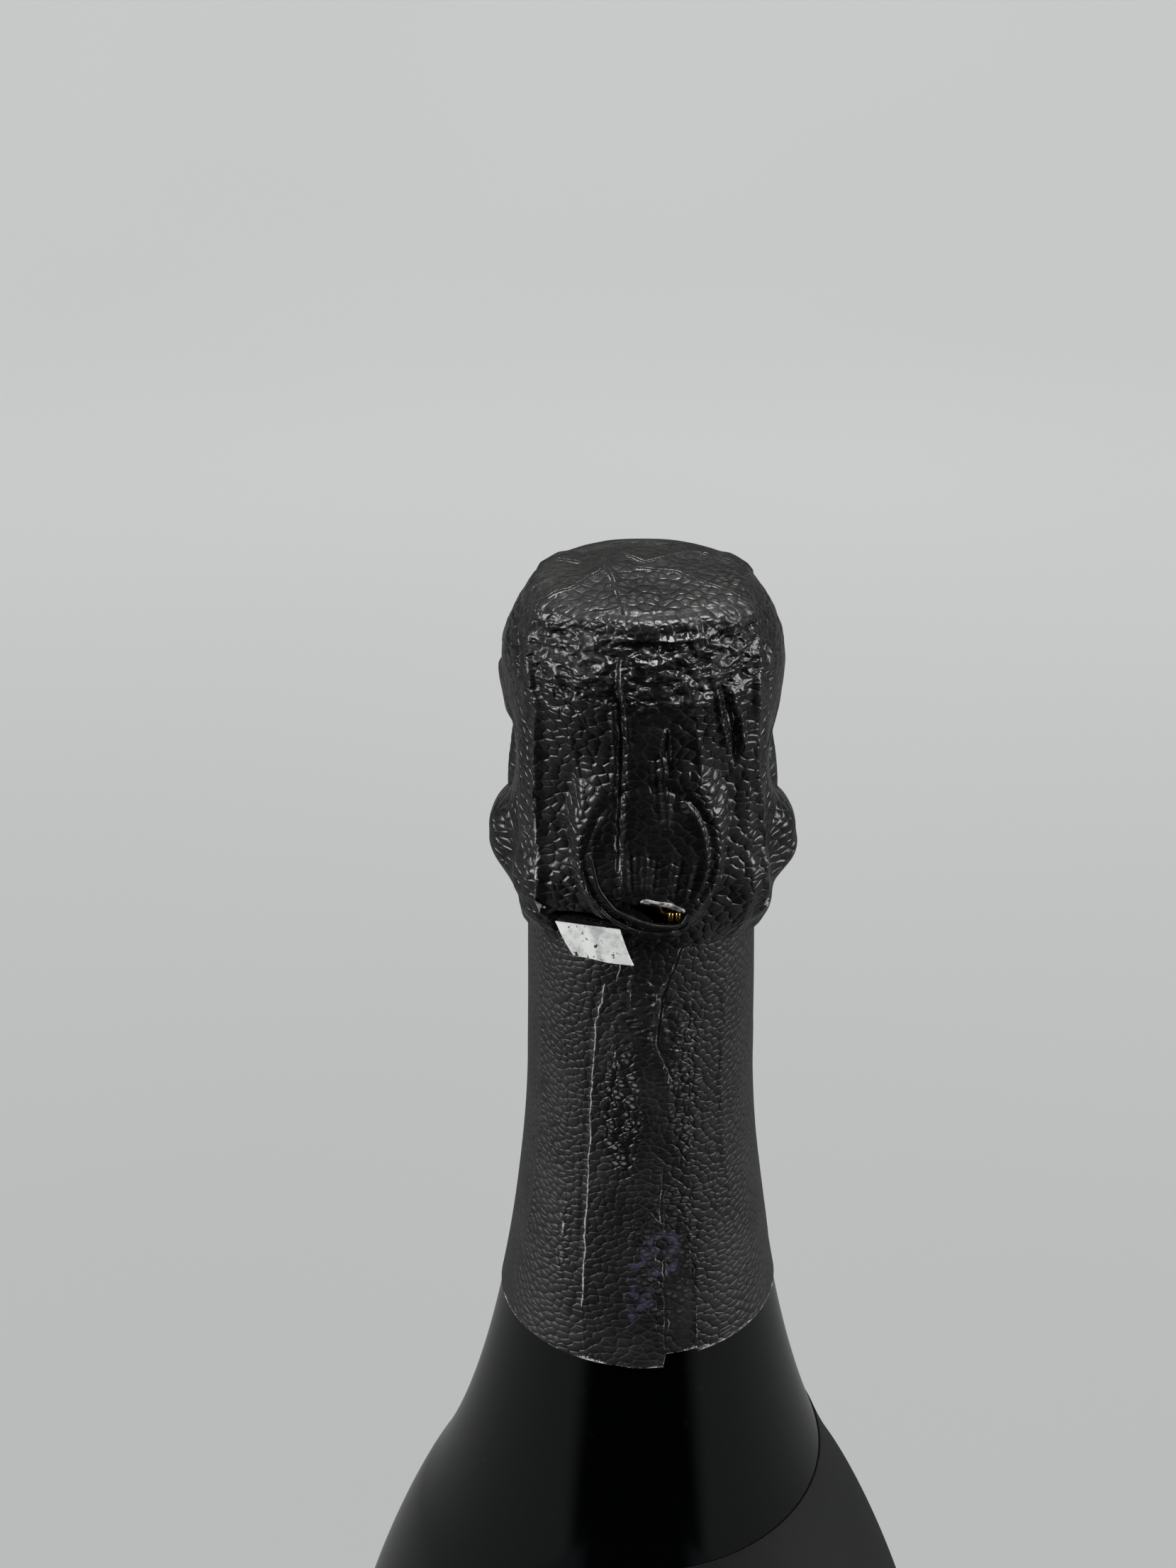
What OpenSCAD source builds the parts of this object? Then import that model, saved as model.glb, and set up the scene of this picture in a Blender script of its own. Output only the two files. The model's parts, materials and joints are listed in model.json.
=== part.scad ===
// Champagne bottle, full and sealed: glass, wine, cork, wire cage, cap and foil.
// Millimetres, +Z up. The origin is the centre of the base.
// The wire loop faces -Y, and the front label turns towards +X.
// Angles round the bottle start at -Y and grow towards +X.

/* [Glass body] */
// Height of the glass, from the base to the lip
bottle_h = 291.5; // [285:0.5:300]
// Diameter at the widest level
body_d = 93.5; // [88:0.5:96]
// Diameter just above the heel
heel_d = 91; // [84:0.5:93]
// Height at which the shoulder begins
body_top_z = 118; // [105:1:130]
// Height of the steepest level of the shoulder
shoulder_z = 167.4; // [160:0.1:176]
// Diameter at the steepest level of the shoulder
shoulder_d = 64; // [58:0.5:68]
// Height at which the neck runs straight
neck_start_z = 246.4; // [242:0.1:254]
// Diameter of the neck
neck_d = 29.5; // [28:0.1:30.5]
// Wall of the body
body_wall = 5.2; // [3.5:0.1:6.5]
// Wall of the neck below the bore
neck_wall = 5; // [4:0.1:5.6]
// Glass over the punt
base_wall = 7; // [5:0.5:10]
// Height of the punt, the hollow under the base
punt_h = 36; // [20:1:45]
// Width of the flat ring that the bottle stands on
rest_w = 3; // [2:0.5:4]
// Rounding of the heel
heel_r = 6; // [3:0.5:8]

/* [Mouth] */
// Diameter of the bore that holds the cork
bore_d = 18; // [17:0.1:18.4]
// Length of the straight bore
bore_len = 28; // [26:0.5:34]
// Diameter of the lip
lip_d = 28.6; // [28:0.1:29.4]
// Height of the lip
lip_h = 4.3; // [3.5:0.1:5]
// Diameter of the groove between the lip and the ring
groove_d = 26.8; // [26:0.1:27.8]
// Diameter of the ring that the cage grips under
ring_d = 31; // [30:0.1:31.6]
// Distance from the lip down to the ring
ring_drop = 6.3; // [5.5:0.1:7]
// Height of the ring
ring_h = 5.8; // [4.5:0.1:6.4]
// Rounding of the lip and the ring
mouth_round = 1.4; // [0.5:0.1:1.8]

/* [Wine] */
// Height of the wine above the base
fill_z = 208; // [180:1:235]

/* [Cork] */
// Length of cork inside the bore
cork_depth = 24; // [20:0.5:25]
// Diameter of the head
cork_head_d = 30.3; // [29:0.1:30.5]
// Height of the head above the lip
cork_head_h = 21.8; // [20:0.1:23]
// Thickness of each natural cork disc
disc_t = 6; // [5:0.5:7]
// Bevel round the foot of the cork
disc_bevel = 0.8; // [0.4:0.1:1.5]

/* [Cap] */
// Diameter of the metal cap on the cork
cap_d = 28.9; // [28:0.1:29.2]
// Thickness of the cap's sheet
cap_t = 0.3; // [0.2:0.05:0.4]
// Diameter of the raised middle of the cap
boss_d = 19.6; // [17:0.1:20]
// Depth of the groove for the top ring of the cage
cap_groove = 0.75; // [0.6:0.05:0.8]
// Drop from the middle of the cap to its hem
cap_drop = 3.7; // [3.4:0.1:4]

/* [Cage] */
// Diameter of the wire of the legs and of the top ring
cage_wire_d = 0.75; // [0.6:0.05:0.8]
// Diameter of the wire of the belt and of the loop
belt_wire_d = 0.9; // [0.7:0.05:0.95]
// Diameter of the top ring, to the middle of the wire
crown_d = 22.8; // [22:0.1:23.4]
// Turns of the two strands in each leg
leg_turns = 5; // [3:1:6]
// Angle from the loop to the two front legs
front_leg_angle = 52; // [48:1:56]
// Angle from the loop to the top of the two back legs
back_leg_angle = 122; // [115:1:130]
// Angle from the loop to the feet of the two back legs
back_foot_angle = 106; // [102:1:112]
// Drop from the lip to the belt wire
belt_drop = 12.9; // [12.5:0.1:13.4]

/* [Loop] */
// Width of the loop, to the middle of the wire
loop_w = 14.2; // [12:0.1:15]
// Height of the loop above its hinge
loop_h = 16.1; // [15:0.1:17]
// Width of the loop at its hinge
loop_foot_w = 3.5; // [3.2:0.1:4]
// Drop from the lip to the hinge of the loop
loop_drop = 14.5; // [14.2:0.1:14.8]
// Distance from the bottle's axis to the hinge
loop_reach = 16.9; // [16.7:0.1:17.2]
// Turn of the loop round the bottle, towards the label
loop_angle = 3.3; // [0:0.1:6]
// Sideways shift of the loop's foot from its middle
loop_shift = 3; // [0:0.1:3.5]

/* [Foil] */
// Thickness of the foil
foil_t = 0.2; // [0.1:0.05:0.25]
// Diameter over the head
hood_head_d = 34.7; // [34:0.1:36]
// Diameter of the flat top
hood_top_d = 25.4; // [24:0.1:26]
// Diameter at the waist, under the cork's head
hood_waist_d = 31.4; // [31.4:0.1:33]
// Diameter of the skirt, over the ring
hood_skirt_d = 33.4; // [33.2:0.1:35]
// Distance from the hinge of the loop down to the torn edge of the hood
hood_hem = 2.25; // [2:0.05:2.6]
// Height of the tear strip, with the line of cuts above it
strip_h = 5.1; // [4:0.1:6]
// Diameter at the lower rim of the tear strip
strip_foot_d = 31.5; // [31.4:0.1:32.5]
// Height of the gap left by the line of cuts
cut_gap = 0.3; // [0.2:0.05:0.4]
// How far the foil swells over the feet of the back legs
ear_swell = 2.7; // [2:0.1:3.2]
// Distance from the top of the hood down to the foil's lower edge
foil_len = 105.8; // [100:0.1:112]
// Angle from the loop to the lap where the neck foil closes
lap_edge = 25; // [0:1:60]
// Height of the notch at the foot of the lap
notch_h = 2; // [1:0.1:4]

/* [Tear tab] */
// Width of the tab
tab_w = 8.6; // [6:0.1:9]
// Length of the tab
tab_len = 5; // [4:0.1:6]
// Sideways lean of the tab at its foot
tab_lean = 2.2; // [0:0.1:3]
// Angle from the loop to the middle of the tab
tab_angle = 22; // [18:1:30]
// Distance from the bottle's axis to the crease of the tab
tab_reach = 16.9; // [16.8:0.05:17.2]
// Thickness of the tape
tape_t = 0.15; // [0.1:0.05:0.2]
// Height of the tape
tape_h = 3.6; // [3:0.1:4]

/* [Front label] */
// Height of the lower edge of the label
label_foot_z = 72; // [50:1:90]
// Height of the upper edge of the label
label_top_z = 178.6; // [170:0.1:190]
// Angle that the label covers
label_angle = 120; // [90:1:140]
// Angle from the loop to the label's first edge
label_start = 0; // [-10:1:20]
// Thickness of the label
label_t = 0.15; // [0.1:0.05:0.3]
// Width of the label where its sides run straight
label_w = 76; // [60:1:78]
// Rounding of the label's lower corners
label_round = 5; // [2:0.5:8]

/* [Hidden] */

// Clearances, and one overrun for all cuts
seat = 0.05;
slide_gap = 0.3;
overrun = 1;
round_fn = 96;
wire_fn = 32;

// Steps along the curves of the outline
curve_steps = 12;

// Heights of the closure, each worked out from the lip
lip_z = bottle_h;
ring_top_z = lip_z - ring_drop;
ring_foot_z = ring_top_z - ring_h;
collar_z = ring_foot_z - mouth_round;
cork_foot_z = lip_z - cork_depth;
bore_foot_z = lip_z - bore_len;
cap_z = lip_z + cork_head_h + cap_t + seat;
foil_inner_z = cap_z + 2 * seat;
foil_z = foil_inner_z + foil_t;
belt_z = lip_z - belt_drop;
hinge_z = lip_z - loop_drop;
hood_foot_z = hinge_z - hood_hem;
hood_len = foil_z - hood_foot_z;
strip_foot_z = hood_foot_z - strip_h;
foil_foot_z = foil_z - foil_len;
neck_foil_z = hood_foot_z - 4 * cut_gap;

// Radii of the wires and of a twisted pair
cage_r = cage_wire_d / 2;
belt_r = belt_wire_d / 2;
strand_shift = cage_r + seat / 2;
pair_r = strand_shift + cage_r;

// Radii that the legs keep to, clear of the cork's head and of the ring
leg_head_r = cork_head_d / 2 + slide_gap + pair_r;
leg_ring_r = ring_d / 2 + slide_gap + pair_r;
eye_r = belt_r + cage_r + 2 * seat;
eye_reach = ring_d / 2 + slide_gap + eye_r + cage_r;
back_eye_reach = eye_reach + cage_r;
collar_r = neck_d / 2 - seat * 10;
belt_min_r = collar_r + slide_gap + belt_r;

function mix(a, b, t) = a + (b - a) * t;
function limit(t) = max(0, min(1, t));
function ease(t) = (1 - cos(180 * limit(t))) / 2;
function turned(a) = a - 360 * round(a / 360);
function polar(r, a, z) = [r * sin(a), -r * cos(a), z];
function reversed(list) = [for (i = [len(list) - 1 : -1 : 0]) list[i]];
function bezier(p, steps) = [for (i = [0 : steps])
    let(t = i / steps, s = 1 - t)
    s * s * s * p[0] + 3 * s * s * t * p[1] + 3 * s * t * t * p[2] + t * t * t * p[3]];
function arc(c, r, from, to, steps) = [for (i = [0 : steps])
    let(a = mix(from, to, i / steps)) c + r * [cos(a), sin(a)]];

// Outline of the glass, as [radius, height] going up
slope_share = 0.56;
belly_share = 0.31;
lower_reach_share = 0.15;
upper_reach_share = 0.3;
throat_share = 0.13;
shoulder_p = [shoulder_d / 2, shoulder_z];
shoulder_dir = [-slope_share, 1];
rise_low = shoulder_z - body_top_z;
rise_high = neck_start_z - shoulder_z;
shoulder_low = bezier([[body_d / 2, body_top_z],
                       [body_d / 2, body_top_z + belly_share * rise_low],
                       shoulder_p - shoulder_dir * lower_reach_share * rise_low,
                       shoulder_p], curve_steps);
shoulder_high = bezier([shoulder_p,
                        shoulder_p + shoulder_dir * upper_reach_share * rise_high,
                        [neck_d / 2, neck_start_z - throat_share * rise_high],
                        [neck_d / 2, neck_start_z]], curve_steps);
heel_arc = arc([heel_d / 2 - heel_r, heel_r], heel_r, -90, 0, 6);
glass_side = concat(heel_arc, shoulder_low, [for (i = [1 : curve_steps]) shoulder_high[i]],
                    [[collar_r, collar_z]]);
glass_table = [for (p = glass_side) [p[1], p[0]]];
function glass_r(z) = lookup(z, glass_table);

// The same outline between two heights, moved out by a gap
function side_between(from, to, gap) = concat(
    [[glass_r(from) + gap, from]],
    [for (p = glass_side) if (p[1] > from && p[1] < to) [p[0] + gap, p[1]]],
    [[glass_r(to) + gap, to]]);

// A sheet of even thickness that follows the glass
function sheet_on_glass(from, to, gap, t) =
    concat(side_between(from, to, gap), reversed(side_between(from, to, gap + t)));

// Inner outline, going up: the bottom over the punt, the body and the neck
wall_shares = [[0, 1], [0.55, 1], [1, 0]];
function wall_at(z) = mix(neck_wall, body_wall, lookup(z / bore_foot_z, wall_shares));
inner_foot_z = base_wall + heel_r * 2;
inner_side = [for (p = glass_side) if (p[1] > inner_foot_z && p[1] < bore_foot_z - base_wall)
              [p[0] - wall_at(p[1]), p[1]]];
inner_foot_r = glass_r(inner_foot_z) - wall_at(inner_foot_z);
punt_r = heel_d / 2 - heel_r - rest_w;
punt_steps = 10;
punt_line = bezier([[0, punt_h], [punt_r * 0.45, punt_h], [punt_r * 0.62, punt_h * 0.5],
                    [punt_r, 0]], punt_steps);
floor_top_z = punt_h + base_wall;
floor_line = bezier([[0, floor_top_z], [punt_r * 0.55, floor_top_z],
                     [punt_r * 0.66, punt_h * 0.5 + base_wall], [punt_r, base_wall + rest_w]],
                    punt_steps);
function inner_line(gap) = concat(
    [for (p = floor_line) [p[0], p[1] + gap]],
    [[inner_foot_r - gap, inner_foot_z]],
    [for (p = inner_side) [p[0] - gap, p[1]]]);

// Lines of the mouth, going up the outside
ring_r = ring_d / 2;
lip_r = lip_d / 2;
groove_r = groove_d / 2;
lip_foot_z = lip_z - lip_h;
mouth_line = concat(
    [[collar_r, ring_foot_z]],
    arc([ring_r - mouth_round, ring_foot_z + mouth_round], mouth_round, -90, 0, 5),
    arc([ring_r - mouth_round, ring_top_z - mouth_round], mouth_round, 0, 90, 5),
    [[groove_r, ring_top_z + mouth_round / 2], [groove_r, lip_foot_z - seat * 6]],
    [[lip_r, lip_foot_z + mouth_round / 2]],
    arc([lip_r - mouth_round, lip_z - mouth_round], mouth_round, 0, 90, 5));
mouth_bevel = mouth_round / 2;

bore_line = [[bore_d / 2, bore_foot_z], [bore_d / 2, lip_z - mouth_bevel],
             [bore_d / 2 + mouth_bevel, lip_z]];

module glass_bottle()
    color("#1c2a1e")
    rotate_extrude($fn = round_fn)
    polygon(concat(reversed(punt_line), inner_line(0), bore_line,
                   reversed(mouth_line), reversed(glass_side)));

module wine()
    color("#d8c270")
    rotate_extrude($fn = round_fn)
    polygon(concat(
        [for (p = inner_line(seat)) if (p[1] < fill_z) p],
        [[glass_r(fill_z) - wall_at(fill_z) - seat, fill_z], [0, fill_z]]));

// Outline of the cap, moved inwards and down by k, as [radius, height]
boss_r = boss_d / 2;
cap_r = cap_d / 2;
crown_r = crown_d / 2;
groove_in_r = crown_r - cage_r * 2.4;
groove_out_r = crown_r + cage_r * 2.4;
cap_shoulder_r = mix(groove_out_r, cap_r, 0.3);
function cap_line(k) = [
    [0, cap_z - k],
    [boss_r - k, cap_z - k],
    [groove_in_r - k, cap_z - cap_groove - k],
    [groove_out_r - k, cap_z - cap_groove - k],
    [cap_shoulder_r - k, cap_z - cap_groove * 1.5 - k],
    [cap_r - k - seat * 3, mix(cap_z, cap_z - cap_drop, 0.8) - k],
    [cap_r - k, cap_z - cap_drop]];

module cap_plaque()
    color("#2b2b2e")
    rotate_extrude($fn = round_fn)
    polygon(concat(cap_line(0), reversed(cap_line(cap_t))));

// The head of the cork fills the cap and bulges below it
cork_r = bore_d / 2 - seat;
cork_head_r = cork_head_d / 2;
head_foot_r = mix(cork_r, lip_r, 0.55);
head_top = [for (p = cap_line(cap_t + seat)) [max(0, p[0] - slide_gap), p[1]]];
head_side = bezier([[cap_r - cap_t - slide_gap, cap_z - cap_drop],
                    [cork_head_r + seat * 4, mix(cap_z, lip_z, 0.4)],
                    [cork_head_r + seat * 4, mix(cap_z, lip_z, 0.75)],
                    [head_foot_r, lip_z + seat]], curve_steps);
disc_upper_z = cork_foot_z + 2 * disc_t;

module cork_body()
    color("#c79a62")
    rotate_extrude($fn = round_fn)
    polygon(concat(
        [for (i = [0 : len(head_top) - 2]) head_top[i]],
        head_side,
        [[cork_r, lip_z + seat], [cork_r, disc_upper_z], [0, disc_upper_z]]));

module cork_disc_upper()
    color("#b98650")
    translate([0, 0, cork_foot_z + disc_t])
    cylinder(h = disc_t, r = cork_r, $fn = round_fn);

module cork_disc_lower()
    color("#b07c48")
    union() {
        translate([0, 0, cork_foot_z + disc_bevel])
        cylinder(h = disc_t - disc_bevel, r = cork_r, $fn = round_fn);
        translate([0, 0, cork_foot_z])
        cylinder(h = disc_bevel, r1 = cork_r - disc_bevel, r2 = cork_r, $fn = round_fn);
    }

// Round tubes swept along a list of points
function unit(v) = v / norm(v);
function along(path, i, closed) =
    let(n = len(path),
        a = closed ? path[(i + n - 1) % n] : path[max(0, i - 1)],
        b = closed ? path[(i + 1) % n] : path[min(n - 1, i + 1)])
    unit(b - a);
function carried(u, t) = unit(u - (u * t) * t);
function first_side(t) = carried(abs(t[2]) < 0.8 ? [0, 0, 1] : [1, 0, 0], t);
function sides(path, closed) = [
    for (i = 0, u = first_side(along(path, 0, closed));
         i < len(path);
         i = i + 1, u = i < len(path) ? carried(u, along(path, i, closed)) : u) u];
function wind(path, us) =
    let(t = along(path, 0, true), last = carried(us[len(us) - 1], t))
    atan2(cross(us[0], last) * t, us[0] * last);
function tube_points(path, r, sides_n, closed) =
    let(us = sides(path, closed), n = len(path), w = closed ? wind(path, us) : 0)
    [for (i = [0 : n - 1])
        let(t = along(path, i, closed), u = us[i], v = cross(t, u))
        for (j = [0 : sides_n - 1])
            let(a = 360 * j / sides_n - w * i / n)
            path[i] + r * (cos(a) * u + sin(a) * v)];
function tube_faces(n, m, closed) = concat(
    [for (i = [0 : closed ? n - 1 : n - 2], j = [0 : m - 1], k = [0, 1])
        let(a = i * m + j, b = i * m + (j + 1) % m,
            c = ((i + 1) % n) * m + (j + 1) % m, d = ((i + 1) % n) * m + j)
        k == 0 ? [a, d, c] : [a, c, b]],
    closed ? [] : [[for (j = [0 : m - 1]) j],
                   [for (j = [m - 1 : -1 : 0]) (n - 1) * m + j]]);

module tube(path, r, sides_n = 6, closed = false)
    polyhedron(points = tube_points(path, r, sides_n, closed),
               faces = tube_faces(len(path), sides_n, closed));

// Route of a leg, as [drop, radius]: over the edge of the cap, down the cork's head and the ring
crown_z = cap_z - cap_groove + cage_r + seat;
crown_drop = foil_z - crown_z;
head_drop = hood_len * 0.28;
ring_level = foil_z - ring_top_z;
eye_level = foil_z - belt_z;
twist_top = crown_drop + cap_drop;
twist_foot = eye_level - 3.2 * eye_r;
leg_over = bezier([[crown_drop, crown_r + 3 * cage_r],
                   [crown_drop, cap_r - 2 * seat],
                   [crown_drop + cap_drop, leg_head_r - 2 * cage_r],
                   [head_drop, leg_head_r]], 7);
function leg_line(reach) = concat(leg_over,
    [[ring_level - ring_drop / 3, leg_ring_r], [twist_foot, leg_ring_r + seat], [eye_level, reach]]);
function leg_r(drop, reach) = lookup(drop, leg_line(reach));

// A leg is [angle at the top, angle at the foot, reach of its eye]
legs = [[-front_leg_angle, -front_leg_angle, eye_reach],
        [front_leg_angle, front_leg_angle, eye_reach],
        [back_leg_angle, back_foot_angle, back_eye_reach],
        [360 - back_leg_angle, 360 - back_foot_angle, back_eye_reach]];
function leg_angle(leg, drop) =
    mix(leg[0], leg[1], ease((drop - head_drop) / (twist_foot - head_drop)));

// One strand of a leg; way is 1 for the strand that ends outside and -1 inside
steps_per_turn = 7;
strand_steps = leg_turns * steps_per_turn;
function strand_point(leg, drop, out, sideways) =
    let(r = leg_r(drop, leg[2]) + out, a = leg_angle(leg, drop))
    polar(r, a, foil_z - drop) + sideways * [cos(a), sin(a), 0];
function strand(leg, way) = concat(
    [for (i = [0 : 3]) let(p = leg_over[i])
        polar(p[1], leg[0], foil_z - p[0]) - way * strand_shift * [cos(leg[0]), sin(leg[0]), 0]],
    [for (i = [1 : strand_steps])
        let(t = i / strand_steps, a = -90 + t * (leg_turns * 360 + 90),
            drop = mix(twist_top, twist_foot, t))
        strand_point(leg, drop, way * strand_shift * cos(a), way * strand_shift * sin(a))],
    [for (i = [1 : 2])
        let(t = i / 3, drop = mix(twist_foot, eye_level, t))
        strand_point(leg, drop, way * mix(strand_shift, eye_r, ease(t)), 0)]);
function eye(leg) = [for (i = [0 : 6])
    let(a = -i * 30)
    polar(leg[2] + eye_r * cos(a), leg[1], belt_z + eye_r * sin(a))];
crown_steps = 7;
function crown_arc(from, to) =
    let(lead = 2 * strand_shift / crown_r * 180 / PI * 1.6)
    [for (i = [0 : crown_steps])
        polar(crown_r, mix(from + lead, to - lead, i / crown_steps), crown_z)];
function next_leg(i) = legs[(i + 1) % len(legs)];
function next_angle(i) = next_leg(i)[0] + (next_leg(i)[0] < legs[i][0] ? 360 : 0);
cage_path = [for (i = [0 : len(legs) - 1])
    each concat(strand(legs[i], 1), eye(legs[i]), reversed(strand(legs[i], -1)),
                crown_arc(legs[i][0], next_angle(i)))];

module cage_wire()
    color("#c9a13c")
    tube(cage_path, cage_r, 6, true);

// The belt runs through the four eyes and is drawn in to the neck between them
belt_spread = 24;
belt_steps = 90;
function belt_pull(a, leg) = pow(cos(90 * limit(abs(turned(a - leg[1])) / belt_spread)), 2);
function belt_at(a) = belt_min_r + max([for (leg = legs) (leg[2] - belt_min_r) * belt_pull(a, leg)]);
belt_path = [for (i = [0 : belt_steps - 1])
    let(a = i * 360 / belt_steps) polar(belt_at(a), a, belt_z)];

// At the front the two ends turn out and hook round the foot of the loop
hook_r = belt_r + cage_r + seat;
hook_x = cage_r + seat;
hook_start_y = -sqrt(belt_min_r * belt_min_r - loop_shift * loop_shift);
function hook_path(way) = concat(
    [[loop_shift + way * 3 * hook_x, hook_start_y, belt_z],
     [loop_shift + way * 2 * hook_x, mix(hook_start_y, -loop_reach + hook_r, 0.6),
      mix(belt_z, hinge_z, 0.3)]],
    [for (i = [0 : 9])
        let(a = 20 - i * 27)
        [loop_shift + way * hook_x, -loop_reach + hook_r * cos(a), hinge_z + hook_r * sin(a)]]);

module belt_wire()
    color("#c9a13c")
    union() {
        tube(belt_path, belt_r, 6, true);
        rotate([0, 0, loop_angle])
        for (way = [-1, 1])
            tube(hook_path(way), cage_r, 6);
    }

// The loop leans on the neck: its middle line as a distance from the axis
loop_r = loop_w / 2;
loop_mid_z = hinge_z + loop_h - loop_r;
loop_lean = 0.07;
loop_bow = 52;
function loop_y(x, z) =
    -(loop_reach + seat * 4 - loop_lean * max(0, z - hinge_z - belt_wire_d * 4)) + x * x / loop_bow;
function loop_at(x, z) = [x, loop_y(x, z), z];
loop_foot_x = loop_foot_w / 2;
loop_from = -45;
loop_to = 271;
loop_bend = belt_r * 1.4;
function loop_foot(way) = [loop_shift + way * loop_foot_x, -loop_reach, hinge_z];
function loop_corner(way) = [for (a = way > 0 ? [-90, -45, 0] : [180, 225, 270])
    loop_foot(way) + loop_bend * [cos(a) - way, 0, sin(a) + 1]];
loop_path = concat(
    loop_corner(1),
    [loop_at(loop_shift + loop_foot_x + seat, hinge_z + loop_bend * 2)],
    [for (i = [0 : 28])
        let(a = mix(loop_from, loop_to, i / 28))
        loop_at(loop_r * cos(a), loop_mid_z + loop_r * sin(a))],
    [loop_at(loop_shift - loop_foot_x - seat, hinge_z + loop_bend * 2)],
    loop_corner(-1));

module wire_loop()
    color("#d2aa45")
    rotate([0, 0, loop_angle])
    tube(loop_path, belt_r, 6, true);

// Foil between the legs, as a radius at a drop from the top
waist_level = hood_len * 0.59;
skirt_level = hood_len * 0.84;
function foil_base_r(drop) =
    drop < head_drop ? mix(hood_top_d, hood_head_d, 1 - pow(1 - limit(drop / head_drop), 2.2)) / 2 :
    drop < waist_level ? mix(hood_head_d, hood_waist_d,
                             ease((drop - head_drop) / (waist_level - head_drop))) / 2 :
    drop < hood_len ? mix(hood_waist_d, hood_skirt_d,
                          ease((drop - waist_level) / (skirt_level - waist_level))) / 2 :
    mix(hood_skirt_d, strip_foot_d, ease((drop - hood_len) / strip_h)) / 2;

// Foil over a leg stands off the wire, and over its eye it stands off the eye
ridge_flat = 6.5;
ridge_spread = 15;
foil_lift = seat + foil_t;
function ridge(a, flat, spread) = ease((spread - abs(turned(a))) / (spread - flat));
function plateau(x, half) = exp(-pow(x / half, 4));
function over_leg(leg, a, drop) =
    let(here = ridge(a - leg_angle(leg, min(drop, eye_level)), ridge_flat, ridge_spread),
        wire = leg_r(min(drop, twist_foot), leg[2]) + pair_r + foil_lift,
        foot = leg[2] + eye_r + cage_r + foil_lift,
        tall = mix(wire, foot, plateau(drop - eye_level, eye_r * 3.4)),
        fade = ease((hood_len + strip_h - drop) / strip_h))
    max(0, tall - foil_base_r(drop)) * here * fade;
ear_angle = back_foot_angle - 9;
ear_flat = 9;
ear_spread = 25;
ear_level = skirt_level + cage_r;
ear_half_h = ring_h + seat * 8;
function ear(a, drop) = ear_swell * plateau(drop - ear_level, ear_half_h)
    * max(ridge(a - ear_angle, ear_flat, ear_spread), ridge(a + ear_angle, ear_flat, ear_spread));

// Opening over the loop, an oval in angle and height
window_angle = 27;
window_h = 18;
swell_reach_share = 1.5;
swell_foot_share = 0.6;
window_z = foil_z - ring_level - seat * 4;
patch_lift = belt_r + 2 * seat + foil_t;
function patch_y(x, z) = loop_y(x, z) - patch_lift;
function rim_r(a, z) =
    let(y = -patch_y(0, z), x = y * sin(a))
    (y - x * x / loop_bow) / cos(a);
function window_swell(a, z) =
    let(u = turned(a - loop_angle) / window_angle, v = (z - window_z) * 2 / window_h, rho = norm([u, v]))
    ease((swell_reach_share - rho) / (swell_reach_share - 1)) * ease((v + 1) / swell_foot_share);
function foil_r(a, drop) =
    let(base = foil_base_r(drop), z = foil_z - drop, s = window_swell(a, z))
    max([mix(base, s > 0 ? max(base, rim_r(turned(a - loop_angle), z)) : base, s),
         base + ear(a, drop),
         for (leg = legs) base + over_leg(leg, a, drop)]);

// Grid of the foil: columns round the bottle, rows up it
columns = 60;
column_step = 360 / columns;
window_columns = 2 * window_angle / column_step;
window_rows = 10;
function grid_angle(i) = loop_angle - window_angle + i * column_step;

// Square cells round the window are drawn onto its oval, which is fuller and lower at its foot
foot_share = 1.05;
function round_norm(u, v) = v < 0 ? pow(pow(u, 4) + pow(v, 4), 0.25) : norm([u, v]);
function eased_out(u, v) =
    let(s = max(abs(u), abs(v)), rho = round_norm(u, v), low = v < 0 ? foot_share : 1)
    s < 1 - 0.001 || s > 2 || v < -1.001 ? [u, v] :
    let(q = [u, v] * mix(s / max(rho, 0.001), 1, limit(s - 1)))
    [q[0], q[1] * mix(low, 1, limit(s - 1))];
function grid_place(i, z) =
    let(q = eased_out(turned(grid_angle(i) - loop_angle) / window_angle,
                      (z - window_z) * 2 / window_h))
    [loop_angle + q[0] * window_angle, window_z + q[1] * window_h / 2];
function foil_point(i, z, inset) =
    let(p = grid_place(i, z), drop = foil_z - p[1])
    polar(foil_r(p[0], drop) - inset, p[0], p[1]);

// Heights of the hood's rows, from its lower edge to the brim of its flat top
window_foot_z = window_z - window_h / 2;
window_top_z = window_z + window_h / 2;
upper_shares = [0.1, 0.21, 0.33, 0.45, 0.57, 0.68, 0.78, 0.86, 0.92, 0.965, 0.99];
hood_rows = concat([hood_foot_z],
    [for (k = [0 : window_rows]) mix(window_foot_z, window_top_z, k / window_rows)],
    [for (s = upper_shares) mix(window_top_z, foil_z, s)]);

// The flat top is gathered in folds round its middle
top_shares = [0.86, 0.68, 0.48, 0.26];
fold_count = 9;
fold_h = 0.12;
function top_point(i, share, inset) =
    let(a = grid_angle(i), r = foil_r(a, 0) * share,
        fold = fold_h * (0.5 + 0.5 * sin(a * fold_count + share * 300)) * sin(180 * limit(share)))
    polar(r, a, foil_z - inset - (share > 0.5 ? 0 : fold) * (1 - share));

// Faces between two grids of rows and columns, one outside and one inside
function grid_cell(k, i, n) =
    let(j = (i + 1) % n) [k * n + i, k * n + j, (k + 1) * n + j, (k + 1) * n + i];
function quad(a, b, c, d) = [[a, d, c], [a, c, b]];
function quad_back(a, b, c, d) = quad(c, b, a, d);
function cell_back(c, inner) = quad_back(c[0] + inner, c[1] + inner, c[2] + inner, c[3] + inner);
function in_window(k, i) = k >= 1 && k < 1 + window_rows && i < window_columns;
function window_wall(p, q, inner) = quad(p, q, q + inner, p + inner);

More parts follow.
